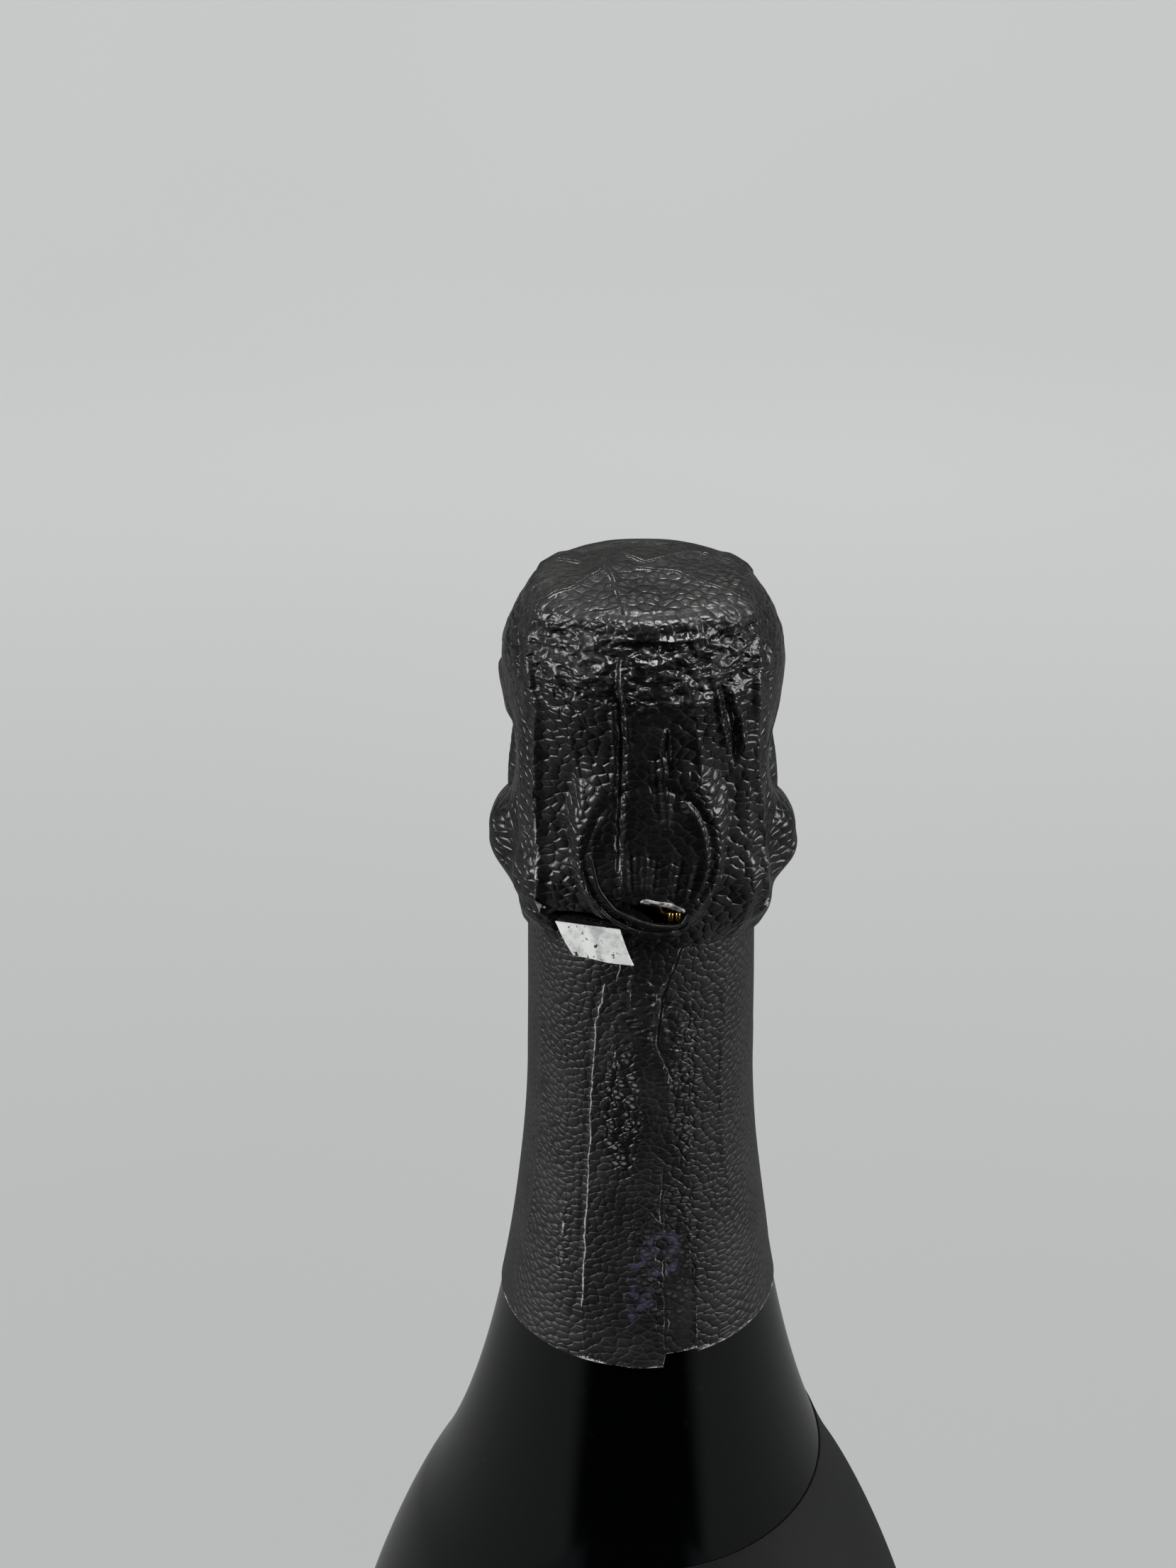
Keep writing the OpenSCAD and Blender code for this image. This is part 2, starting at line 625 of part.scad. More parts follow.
module foil_hood() {
    n = columns;
    rows = len(hood_rows) + len(top_shares);
    inner = rows * n;
    cells = [for (k = [0 : rows - 2], i = [0 : n - 1]) if (!in_window(k, i)) grid_cell(k, i, n)];
    outer_points = concat(
        [for (z = hood_rows, i = [0 : n - 1]) foil_point(i, z, 0)],
        [for (s = top_shares, i = [0 : n - 1]) top_point(i, s, 0)]);
    inner_points = concat(
        [for (z = hood_rows, i = [0 : n - 1]) foil_point(i, min(z, foil_inner_z - seat), foil_t)],
        [for (s = top_shares, i = [0 : n - 1]) top_point(i, s, foil_t)]);
    poles = [[0, 0, foil_z], [0, 0, foil_inner_z]];
    outer_pole = 2 * inner;
    top_row = (rows - 1) * n;
    w0 = 0;
    w1 = window_columns;
    k0 = 1;
    k1 = 1 + window_rows;
    faces = concat(
        [for (c = cells, f = quad(c[0], c[1], c[2], c[3])) f],
        [for (c = cells, f = cell_back(c, inner)) f],
        [for (i = [0 : n - 1]) let(a = top_row + i, b = top_row + (i + 1) % n) [a, outer_pole, b]],
        [for (i = [0 : n - 1]) let(a = top_row + i, b = top_row + (i + 1) % n)
            [b + inner, outer_pole + 1, a + inner]],
        [for (i = [0 : n - 1], f = window_wall((i + 1) % n, i, inner)) f],
        [for (i = [w0 : w1 - 1], f = window_wall(k0 * n + i, k0 * n + i + 1, inner)) f],
        [for (i = [w0 : w1 - 1], f = window_wall(k1 * n + i + 1, k1 * n + i, inner)) f],
        [for (k = [k0 : k1 - 1], f = window_wall(k * n + w1, (k + 1) * n + w1, inner)) f],
        [for (k = [k0 : k1 - 1], f = window_wall((k + 1) * n + w0, k * n + w0, inner)) f]);
    color("#26282a")
    polyhedron(points = concat(outer_points, inner_points, poles), faces = faces);
}

// The band of foil that tears away lies between the hood and the neck foil
strip_rows = 5;
slit_flat = 14;
slit_spread = 18;
module tear_strip() {
    n = columns;
    inner = (strip_rows + 1) * n;
    top_z = hood_foot_z - cut_gap;
    rows = [for (k = [0 : strip_rows]) mix(strip_foot_z, top_z, k / strip_rows)];
    function dip(i, k) = k < strip_rows ? 0 :
        2 * cut_gap * ridge(grid_angle(i) + tab_angle, slit_flat, slit_spread);
    function strip_point(i, k, inset) =
        let(a = grid_angle(i), z = rows[k])
        polar(foil_r(a, foil_z - z) - inset, a, z - dip(i, k));
    color("#2b2d2f")
    polyhedron(
        points = concat(
            [for (k = [0 : strip_rows], i = [0 : n - 1]) strip_point(i, k, 0)],
            [for (k = [0 : strip_rows], i = [0 : n - 1]) strip_point(i, k, foil_t)]),
        faces = concat(
            [for (k = [0 : strip_rows - 1], i = [0 : n - 1])
                each let(c = grid_cell(k, i, n)) quad(c[0], c[1], c[2], c[3])],
            [for (k = [0 : strip_rows - 1], i = [0 : n - 1])
                each cell_back(grid_cell(k, i, n), inner)],
            [for (i = [0 : n - 1], f = window_wall((i + 1) % n, i, inner)) f],
            [for (i = [0 : n - 1])
                each window_wall(strip_rows * n + i, strip_rows * n + (i + 1) % n, inner)]));
}

// The foil over the loop is a shallow oval dish that turns with it
patch_cells = 10;
patch_low_share = 0.8;
patch_half_w = rim_r(window_angle, window_z) * sin(window_angle) - 1.5 * slide_gap;
patch_half_h = window_h / 2 - 1.2 * slide_gap;
patch_dome = 0.25;
module loop_foil() {
    m = patch_cells + 1;
    inner = m * m;
    function uv(i, k) =
        let(u = 2 * i / patch_cells - 1, v = 2 * k / patch_cells - 1,
            s = max(abs(u), abs(v)), rho = norm([u, v]))
        rho == 0 ? [0, 0] : [u, v] * s / rho;
    function patch_point(i, k, t) =
        let(q = uv(i, k), v = q[1] < 0 ? q[1] * patch_low_share : q[1],
            x = q[0] * patch_half_w, z = window_z + v * patch_half_h,
            dome = patch_dome * (1 - norm(q)))
        [x, loop_y(x, z) - belt_r - 2 * seat - dome - t, z];
    function at(i, k) = k * m + i;
    color("#26282a")
    rotate([0, 0, loop_angle])
    polyhedron(
        points = concat(
            [for (k = [0 : patch_cells], i = [0 : patch_cells]) patch_point(i, k, foil_t)],
            [for (k = [0 : patch_cells], i = [0 : patch_cells]) patch_point(i, k, 0)]),
        faces = concat(
            [for (k = [0 : patch_cells - 1], i = [0 : patch_cells - 1])
                each quad(at(i, k), at(i + 1, k), at(i + 1, k + 1), at(i, k + 1))],
            [for (k = [0 : patch_cells - 1], i = [0 : patch_cells - 1])
                each cell_back([at(i, k), at(i + 1, k), at(i + 1, k + 1), at(i, k + 1)], inner)],
            [for (i = [0 : patch_cells - 1]) each window_wall(at(i + 1, 0), at(i, 0), inner)],
            [for (i = [0 : patch_cells - 1])
                each window_wall(at(i, patch_cells), at(i + 1, patch_cells), inner)],
            [for (k = [0 : patch_cells - 1]) each window_wall(at(0, k), at(0, k + 1), inner)],
            [for (k = [0 : patch_cells - 1])
                each window_wall(at(patch_cells, k + 1), at(patch_cells, k), inner)]));
}

// The tape lies inside the tear strip, and its tongue comes out through the slit
tape_r = glass_r(neck_foil_z) + seat + foil_t + 2 * seat;
tongue_z = hood_foot_z - cut_gap - tape_t;
tab_crease_r = tape_t;
tab_taper = 2 * tape_t;
module tear_tape()
    color("#d9dbd8")
    union() {
        rotate_extrude($fn = round_fn)
        translate([tape_r, tongue_z - tape_h])
        square([tape_t, tape_h]);
        rotate([0, 0, -tab_angle])
        difference() {
            translate([-tab_w / 2, -tab_reach + tab_crease_r + 2 * seat, tongue_z - tape_t])
            cube([tab_w, tab_reach / 2, tape_t]);
            translate([0, 0, tongue_z - tape_t - overrun])
            cylinder(h = tape_t + 2 * overrun, r = tape_r + tape_t / 2, $fn = round_fn);
        }
    }

module tear_tab()
    color("#e4e6e3")
    rotate([0, 0, -tab_angle])
    translate([0, -tab_reach, tongue_z])
    union() {
        translate([-tab_w / 2, 0, 0])
        rotate([0, 90, 0])
        cylinder(h = tab_w, r = tab_crease_r, $fn = wire_fn);
        translate([0, tape_t / 2, 0])
        rotate([90, 0, 0])
        linear_extrude(height = tape_t)
        polygon([[-tab_w / 2, 0], [tab_w / 2, 0], [tab_w / 2 + tab_lean - tab_taper, -tab_len],
                 [-tab_w / 2 + tab_lean + tab_taper, -tab_len * 0.94]]);
    }

// A sheet on the glass over a stretch of angle
module sheet_sector(from, angle, foot, top, gap, t)
    rotate([0, 0, from - 90])
    rotate_extrude(angle = angle, $fn = round_fn)
    polygon(sheet_on_glass(foot, top, gap, t));

// The foot of the neck foil: a notch beside the lap, and a right half shorter than the left
notch_angle = 14;
short_angle = 165;
short_from = lap_edge - 1;
short_h = notch_h * 0.6;
module foil_cut(from, angle, h)
    rotate([0, 0, from - 90])
    rotate_extrude(angle = angle, $fn = round_fn)
    translate([collar_r / 2, foil_foot_z - overrun])
    square([body_d / 2, h + overrun]);

module neck_foil()
    color("#2b2d2f")
    difference() {
        rotate_extrude($fn = round_fn)
        polygon(sheet_on_glass(foil_foot_z, neck_foil_z, seat, foil_t));
        foil_cut(lap_edge - notch_angle, notch_angle, notch_h);
        foil_cut(short_from, short_angle, short_h);
    }

// The front label tapers up the shoulder and ends in a level top edge
module front_label()
    color("#38393b")
    intersection() {
        sheet_sector(label_start, label_angle, label_foot_z, label_top_z, seat, label_t);
        rotate([0, 0, label_start + label_angle / 2])
        rotate([90, 0, 0])
        linear_extrude(height = body_d)
        union() {
            translate([-label_w / 2, label_foot_z + label_round])
            square([label_w, label_top_z - label_foot_z]);
            translate([-label_w / 2 + label_round, label_foot_z - overrun])
            square([label_w - 2 * label_round, label_round + 2 * overrun]);
            for (way = [-1, 1])
                translate([way * (label_w / 2 - label_round), label_foot_z + label_round])
                circle(r = label_round, $fn = wire_fn);
        }
    }

glass_bottle();
wine();
cork_body();
cork_disc_upper();
cork_disc_lower();
cap_plaque();
cage_wire();
belt_wire();
wire_loop();
loop_foil();
foil_hood();
tear_strip();
tear_tape();
tear_tab();
neck_foil();
front_label();
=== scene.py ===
"""Looks of a sealed champagne bottle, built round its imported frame.

Lengths in the forms below are millimetres, as in the part's source, and become metres when a
mesh is written. Angles are degrees round the bottle, from the side that faces the camera, and
a drop is a distance down from the top of the foil.
"""

import json
import logging
import math
from contextlib import contextmanager
from dataclasses import dataclass
from enum import Enum
from typing import Callable, Dict, Iterator, List, Optional, Sequence, Tuple, Union

import bpy
import numpy as np
from mathutils import Matrix, Vector, noise

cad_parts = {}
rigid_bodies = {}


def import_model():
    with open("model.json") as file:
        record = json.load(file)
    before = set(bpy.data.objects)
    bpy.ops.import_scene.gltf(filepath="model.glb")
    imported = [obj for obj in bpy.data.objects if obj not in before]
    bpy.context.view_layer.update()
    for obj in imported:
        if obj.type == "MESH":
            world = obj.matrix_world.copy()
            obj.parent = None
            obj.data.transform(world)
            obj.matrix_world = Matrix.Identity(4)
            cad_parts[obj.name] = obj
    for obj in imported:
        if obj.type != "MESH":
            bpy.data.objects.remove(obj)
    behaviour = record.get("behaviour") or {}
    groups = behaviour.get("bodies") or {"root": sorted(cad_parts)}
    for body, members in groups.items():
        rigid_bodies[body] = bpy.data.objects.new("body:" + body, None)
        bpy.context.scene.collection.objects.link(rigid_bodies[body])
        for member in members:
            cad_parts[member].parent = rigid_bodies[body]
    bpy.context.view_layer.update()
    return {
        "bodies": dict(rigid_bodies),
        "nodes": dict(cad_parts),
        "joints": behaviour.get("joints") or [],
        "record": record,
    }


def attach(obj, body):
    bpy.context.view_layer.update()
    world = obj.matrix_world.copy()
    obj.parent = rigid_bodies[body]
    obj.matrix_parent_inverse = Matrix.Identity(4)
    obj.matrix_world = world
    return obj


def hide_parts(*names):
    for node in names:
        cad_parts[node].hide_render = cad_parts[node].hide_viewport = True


log = logging.getLogger("bottle")

MM = 0.001
Array = np.ndarray
Point = Tuple[float, float]
Line = Tuple[Point, ...]
Colour = Tuple[float, float, float]
Piece = bpy.types.Object
Material = bpy.types.Material
Node = bpy.types.Node
Tree = bpy.types.NodeTree
Socket = bpy.types.NodeSocket
Sockets = bpy.types.bpy_prop_collection
Value = Union[Socket, float, Sequence[float]]
Inputs = Dict[Union[str, int], Value]

# Radius that turns an angle into a length along the foils
ARM = 16.0
# Place of the hood's axis in the pattern of its flat top, clear of the pattern of its side
TOP_AXIS = 90.0
# Scale of the pattern across the flat top, which makes its grain longer there
TOP_SQUEEZE = 0.68
# What a foil piece stores for its finish, each from 0 to 1
MARKS = ("rubbed", "polished", "flattened", "stained", "crumpled", "dusty")


class Body(Enum):
    """Moving bodies of the frame."""

    BOTTLE = "bottle"
    CORK = "cork"
    CAGE = "cage"
    LOOP = "loop"
    TAB = "tab"


# Shared forms


def ease(t: Array) -> Array:
    """Smooth step from 0 to 1."""
    return (1 - np.cos(math.pi * np.clip(t, 0.0, 1.0))) / 2


def hump(t: Array, power: float = 2) -> Array:
    """A rounded peak of 1 at 0, which dies away past -1 and 1."""
    return np.exp(-(np.abs(t) ** power))


def turned(a: Array) -> Array:
    """Angle brought to -180 to 180."""
    return (np.asarray(a, float) + 180.0) % 360.0 - 180.0


def bezier(points: Sequence[Point], steps: int) -> Array:
    """Points along a cubic curve.

    Args:
        points: the four control points.
        steps: number of steps.

    Returns:
        An array of steps + 1 points.
    """
    t = np.linspace(0, 1, steps + 1)[:, None]
    p = np.array(points, float)
    s = 1 - t
    return s**3 * p[0] + 3 * s * s * t * p[1] + 3 * s * t * t * p[2] + t**3 * p[3]


def arc(centre: Point, r: float, start: float, end: float, steps: int) -> Array:
    """Points along a circular arc, from one angle to another."""
    a = np.radians(np.linspace(start, end, steps + 1))
    return np.array(centre) + r * np.stack([np.cos(a), np.sin(a)], 1)


def spaced(line: Array, step: float) -> Array:
    """A polyline with points added.

    Args:
        line: its points, one row each.
        step: longest distance left between two of them.

    Returns:
        The longer list of points.
    """
    out: List[Array] = [line[0]]
    for a, b in zip(line[:-1], line[1:]):
        n = max(1, int(math.ceil(np.linalg.norm(b - a) / step)))
        out += [a + (b - a) * (k + 1) / n for k in range(n)]
    return np.array(out)


def ripple(points: Array, wave: Sequence[float], seed: float) -> Array:
    """Smooth noise over points on a sheet.

    Args:
        points: places on the sheet, one row each.
        wave: wavelength along each axis.
        seed: shifts the pattern.

    Returns:
        One value from -1 to 1 for each point.
    """
    w = np.array(wave, float)
    return np.array([noise.noise(Vector(p / w) + Vector((seed, seed * 0.37, 0))) for p in points])


def around_axis(az: Array, along: Array, arm: float = ARM) -> Array:
    """Places on a tube round the bottle, at which noise closes without a seam."""
    a = np.radians(az)
    return np.stack([arm * np.sin(a), arm * np.cos(a), along + 0 * a], 1)


def polar(r: Array, az: Array, z: Array) -> Array:
    """Points in metres from radius, angle and height."""
    a = np.radians(az)
    return np.stack([r * np.sin(a), -r * np.cos(a), z + 0 * a], 1) * MM


def unrolled(az: Array, along: Array, arm: float = ARM) -> Array:
    """Pattern coordinates in mm on a sheet that is wrapped round the bottle."""
    return np.stack([az * math.radians(1) * arm, along], 1)


@dataclass(frozen=True)
class GlassForm:
    """Outline of the glass, in the same named sizes as the part's source."""

    bottle_h: float = 291.5
    body_d: float = 93.5
    heel_d: float = 91.0
    heel_r: float = 6.0
    rest_w: float = 3.0
    body_top_z: float = 118.0
    shoulder_z: float = 167.4
    shoulder_d: float = 64.0
    neck_start_z: float = 246.4
    neck_d: float = 29.5
    body_wall: float = 5.2
    neck_wall: float = 5.0
    base_wall: float = 7.0
    punt_h: float = 36.0
    bore_d: float = 18.0
    bore_len: float = 28.0
    lip_d: float = 28.6
    lip_h: float = 4.3
    groove_d: float = 26.8
    ring_d: float = 31.0
    ring_drop: float = 6.3
    ring_h: float = 5.8
    mouth_round: float = 1.4

    def side(self) -> Array:
        """Outside of the glass from the heel to the collar under the ring.

        Returns:
            Rows of (radius, height).
        """
        slope = np.array([-0.56, 1.0])
        mid = np.array([self.shoulder_d / 2, self.shoulder_z])
        low, high = self.shoulder_z - self.body_top_z, self.neck_start_z - self.shoulder_z
        r, n = self.body_d / 2, self.neck_d / 2
        lower = bezier([(r, self.body_top_z), (r, self.body_top_z + 0.31 * low),
                        mid - slope * 0.15 * low, mid], 40)
        upper = bezier([mid, mid + slope * 0.3 * high,
                        (n, self.neck_start_z - 0.13 * high), (n, self.neck_start_z)], 40)
        heel = arc((self.heel_d / 2 - self.heel_r, self.heel_r), self.heel_r, -90, 0, 12)
        ring_foot = self.bottle_h - self.ring_drop - self.ring_h
        return np.concatenate([heel, lower, upper[1:], [[n - 0.5, ring_foot - self.mouth_round]]])

    def radius(self, z: Array) -> Array:
        """Outside radius of the glass at a height."""
        side = self.side()
        return np.interp(z, side[:, 1], side[:, 0])

    def mouth(self) -> Array:
        """Ring, groove and lip, going up the outside.

        Returns:
            Rows of (radius, height).
        """
        ring_top = self.bottle_h - self.ring_drop
        foot, r, k = ring_top - self.ring_h, self.ring_d / 2, self.mouth_round
        g, lip, lip_foot = self.groove_d / 2, self.lip_d / 2, self.bottle_h - self.lip_h
        return np.concatenate([
            [[self.neck_d / 2 - 0.5, foot]],
            arc((r - k, foot + k), k, -90, 0, 8),
            arc((r - k, ring_top - k), k, 0, 90, 8),
            [[g, ring_top + k / 2], [g, lip_foot - 0.3], [lip, lip_foot + k / 2]],
            arc((lip - k, self.bottle_h - k), k, 0, 90, 8),
        ])

    def hollow(self) -> Array:
        """Inside of the glass, from the middle of the floor up to the bore.

        Returns:
            Rows of (radius, height).
        """
        bore_foot = self.bottle_h - self.bore_len
        punt_r = self.heel_d / 2 - self.heel_r - self.rest_w
        top = self.punt_h + self.base_wall
        floor = bezier([(0, top), (punt_r * 0.55, top),
                        (punt_r * 0.66, self.punt_h * 0.5 + self.base_wall),
                        (punt_r, self.base_wall + self.rest_w)], 24)
        z = np.arange(self.base_wall + 2 * self.heel_r, bore_foot - self.base_wall, 2.0)
        share = np.interp(z / bore_foot, [0, 0.55, 1], [1, 1, 0])
        wall = self.neck_wall + (self.body_wall - self.neck_wall) * share
        k, b = self.mouth_round / 2, self.bore_d / 2
        return np.concatenate([floor, np.stack([self.radius(z) - wall, z], 1),
                               [[b, bore_foot], [b, self.bottle_h - k], [b + k, self.bottle_h]]])

    def punt(self) -> Array:
        """Underside, from the middle of the punt down to the ring that the bottle stands on."""
        r = self.heel_d / 2 - self.heel_r - self.rest_w
        return bezier([(0, self.punt_h), (r * 0.45, self.punt_h), (r * 0.62, self.punt_h * 0.5), (r, 0)], 24)


@dataclass(frozen=True)
class Stroke:
    """A fold, dent or mark drawn along a line on the foil.

    Args:
        line: points as (angle, drop).
        width: half width across the line.
        lift: height at the middle, negative for a valley.
        worn: how pale the crest is rubbed, 0 to 1.
        pressed: how far the grain is pressed flat along it, 0 to 1.
        sharp: power of the fall-off; above 1 gives a crisper crest.
        taper: whether both ends fade out.
    """

    line: Line
    width: float
    lift: float
    worn: float = 0.0
    pressed: float = 0.0
    sharp: float = 1.0
    taper: bool = True

    def over(self, az: Array, drop: Array, arm: float = ARM) -> Array:
        """Share of the stroke at each place.

        Args:
            az: angles.
            drop: drops from the top.
            arm: radius that turns an angle into a length.

        Returns:
            1 on the line, falling to 0 at its half width.
        """
        k = math.radians(1) * arm
        best = np.zeros_like(az)
        pts = np.array(self.line, float)
        total = max(1e-6, sum(np.linalg.norm((b - a) * [k, 1]) for a, b in zip(pts[:-1], pts[1:])))
        run = 0.0
        for a, b in zip(pts[:-1], pts[1:]):
            pu, pv = turned(az - a[0]) * k, drop - a[1]
            du, dv = (b[0] - a[0]) * k, b[1] - a[1]
            n2 = max(du * du + dv * dv, 1e-9)
            t = np.clip((pu * du + pv * dv) / n2, 0, 1)
            dist = np.hypot(pu - t * du, pv - t * dv)
            where = (run + t * math.sqrt(n2)) / total
            fade = ease(np.minimum(where, 1 - where) * 5 + 0.15) if self.taper else 1.0
            best = np.maximum(best, np.clip(1 - dist / self.width, 0, 1) * fade)
            run += math.sqrt(n2)
        return ease(best) ** self.sharp if self.sharp <= 1 else best**self.sharp


@dataclass(frozen=True)
class Spot:
    """A soft oval patch on the foil where a mark shows.

    Args:
        mark: name of the mark, as the foil's finish reads it.
        centre: (angle, drop) of its middle.
        half: half sizes in degrees and mm.
        value: strength in the middle.
    """

    mark: str
    centre: Point
    half: Point
    value: float

    def over(self, az: Array, drop: Array) -> Array:
        """Strength at each place."""
        u, v = turned(az - self.centre[0]) / self.half[0], (drop - self.centre[1]) / self.half[1]
        return self.value * ease((1.25 - np.hypot(u, v)) / 0.5)


@dataclass(frozen=True)
class Lip:
    """A rolled edge of foil at the opening under the loop.

    Args:
        name: name of the piece.
        body: body it moves with.
        line: its middle line as (angle, drop).
        radius: of the roll.
        worn: how far it is rubbed pale, 0 to 1.
    """

    name: str
    body: Body
    line: Line
    radius: float
    worn: float


# Folds of the hood
HOOD_FOLDS = (
    Stroke(((-25.7, 1.9), (-9.4, 2.3), (5.4, 2.1), (20.7, 2.2), (31.4, 2.1), (41.5, 1.5), (54.2, 0.4)), 0.6,
           0.42, 0.5),
    Stroke(((-10.3, 5), (-8.8, 12), (-8.8, 20.6), (-9, 27), (-8.3, 31)), 0.8, -0.4),
    Stroke(((-11.4, 8), (-10.4, 14), (-10.5, 22)), 0.6, 0.25, 0.3),
    Stroke(((-6.2, 10), (-5.6, 13.2), (-4.6, 15.6)), 0.5, 0.25, 0.35),
    Stroke(((9.4, 12), (9, 16.3), (11.1, 17.7), (8.6, 19.5)), 0.6, -0.35),
    Stroke(((7.7, 14.9), (10.4, 26)), 0.9, 0.25),
    Stroke(((5, 15), (7, 25)), 0.9, -0.22),
    Stroke(((32.3, 7.5), (34.5, 11), (39.2, 14), (41.2, 19)), 0.6, -0.6, 0, 0.6),
    Stroke(((29.5, 7.5), (31.5, 12), (36.5, 16.5)), 0.6, 0.35, 0.2),
    Stroke(((36.5, 8.5), (41.5, 12.5), (44.5, 18)), 0.7, 0.35, 0.2),
    Stroke(((-54.5, 4.7), (-48.6, 8.7), (-46, 12.1), (-45.7, 16.7), (-46.4, 23.3), (-46.1, 29),
           (-43.4, 34.4), (-44, 39.3)), 1, 0.5, 0, 0.5, sharp=1.6, taper=False),
    Stroke(((-46.3, 22), (-46.1, 29), (-43.4, 34.4), (-44, 39.3)), 0.35, 0.05, 0.72, taper=False),
    Stroke(((50, 9), (50.8, 19.8), (54.1, 24.9), (56, 30), (54, 34.3), (56, 39.3)), 1, 0.5, 0, 0.5,
           sharp=1.6, taper=False),
    Stroke(((54.1, 24.9), (56, 30), (54, 34.3), (56, 39.3)), 0.35, 0.05, 0.5, taper=False),
    Stroke(((-45.5, 29.5), (-43.8, 32.2)), 0.4, 0.05, 0.7),
    Stroke(((-46, 36.2), (-41.5, 38.8)), 0.4, 0.05, 0.7),
    Stroke(((61, 36.5), (58, 38.8), (60, 41)), 0.9, 0.05, 0.62),
    Stroke(((15, 21.2), (20.5, 23.6), (24, 26.6), (24.8, 30), (22.5, 33), (17.5, 35.2)), 0.7, 0.4, 0.1, 0.8,
           sharp=1.3),
    Stroke(((-19.5, 23.5), (-21, 27.5), (-20, 31.5)), 0.8, 0.25, 0.08, 0.6, sharp=1.2),
    Stroke(((-8, 29.5), (-6.8, 32.6), (-7.2, 34)), 0.4, 0.25, 0.6),
    Stroke(((-92, 11), (-92, 18)), 7, 0.55),
    Stroke(((-75, 0), (-100, 0)), 3, 0.4),
    Stroke(((-4, 28), (-3.4, 33.6)), 0.5, -0.3),
    Stroke(((-6.5, 28.5), (-4.9, 33.4)), 0.45, 0.3, 0.3, 0.7),
    Stroke(((1.5, 27), (0.8, 33.6)), 0.5, 0.3, 0.15, 0.6),
    Stroke(((6, 28.5), (4.6, 33.8)), 0.5, -0.28),
    Stroke(((11, 28.5), (8.8, 34)), 0.5, 0.28, 0.1, 0.6),
    Stroke(((16, 29), (12.6, 34.6)), 0.6, -0.3),
    Stroke(((19.5, 29.5), (15.6, 34.8)), 0.7, 0.3, 0.1, 0.5),
    Stroke(((-22, 24), (-27, 20), (-31, 13)), 1, 0.22),
    Stroke(((-24, 30), (-32, 29), (-39, 26)), 0.9, -0.25),
    Stroke(((-25, 34.5), (-33, 34), (-40, 35)), 0.9, 0.22),
    Stroke(((-8.5, 39), (-4, 37.5)), 0.8, 0.25, 0.7),
    Stroke(((22, 37), (33, 35.5), (44, 37.5)), 1.1, -0.3),
    Stroke(((28, 31.5), (37, 31), (46, 28)), 1, 0.25),
    Stroke(((29, 24), (36, 20.5), (45, 21)), 1, -0.28),
    Stroke(((20, 12), (24, 17), (22, 21)), 0.9, 0.25, 0.1),
    Stroke(((-34, 5.5), (-22, 6.5), (-14, 5)), 0.8, 0.3, 0.25),
    Stroke(((-28, 8.4), (-18, 8.9), (-9, 8)), 0.8, -0.35),
    Stroke(((-9, 4), (2, 5), (14, 4.2), (26, 5.5)), 0.8, 0.35, 0.3),
    Stroke(((-6, 6.4), (6, 7), (18, 6.2), (30, 7.6)), 0.8, -0.4),
    Stroke(((-8, 8.8), (5, 9.6), (17, 8.9), (29, 10)), 0.8, 0.32, 0.25),
    Stroke(((-3, 11.5), (9, 11.9), (22, 11.4)), 0.8, -0.25),
    Stroke(((-60, 3), (-52, 8), (-51, 14)), 1.4, 0.35, 0.1),
    Stroke(((58, 3), (53, 8), (50.5, 14)), 1.4, 0.35),
    Stroke(((-75, 12), (-70, 24), (-76, 32)), 1.2, -0.3),
    Stroke(((78, 12), (72, 24), (79, 32)), 1.2, -0.3),
    Stroke(((122, 9), (121, 20), (111, 30), (106, 38)), 0.9, 0.08, 0.25, sharp=1.3),
    Stroke(((-122, 9), (-121, 20), (-111, 30), (-106, 38)), 0.9, 0.08, 0.25, sharp=1.3),
    Stroke(((60, 38.5), (70, 42), (74, 43.5)), 4, 0.9),
    Stroke(((82, 36), (92, 38.5)), 4, 0.5),
    Stroke(((150, 5), (158, 16), (152, 28)), 1.3, -0.35),
    Stroke(((-155, 6), (-148, 18), (-156, 30)), 1.3, -0.3),
    Stroke(((175, 8), (178, 20), (170, 34)), 1.1, 0.28, 0.12),
    Stroke(((-172, 14), (-166, 26)), 1, -0.25),
)

# Folds of its flat top, on lines of (x, y)
TOP_FOLDS = (
    Stroke(((-2.6, 5), (0.1, 2), (5.4, 5.8), (10.7, 5)), 2.2, 0.22, taper=False),
    Stroke(((-3, 0.6), (3.9, -1.3), (11, -6.8)), 2, 0.2, taper=False),
    Stroke(((-5, 2.9), (-2.4, -12.2)), 1.8, 0.25, taper=False),
    Stroke(((-11.3, -7.2), (-8.6, -5.7), (-5.1, -0.9)), 1.8, 0.2, taper=False),
    Stroke(((3, -3.5), (2, -11)), 1.4, -0.25),
    Stroke(((-9, 6), (-3, 9.5), (4, 9)), 1.5, -0.25),
)

# Sharp creases of the flat top, sunk and darkened with painted shade, lines of (x, y)
TOP_CREASES = (
    ((-5, 2.9), (-2.4, -12.2)),
    ((-2.6, 5), (0.1, 2), (5.4, 5.8), (7.6, 5.5), (9.3, 3.1)),
    ((-3, 0.6), (3.9, -1.3), (11, -6.8)),
    ((-11.3, -7.2), (-8.6, -5.7), (-5.1, -0.9)),
    ((-2.4, -10.9), (-7.3, -11.5)),
    ((-10.9, 4.7), (-8.1, 3)),
)

# Sharp creases of the hood's front, sunk and darkened with painted shade, lines of (angle, drop)
HOOD_CREASES = (
    ((-10, 4.5), (-8.7, 13), (-9, 30.5)),
    ((32.3, 7.5), (38.8, 13.6), (41.2, 19)),
    ((9.2, 12.5), (10.6, 18)),
)

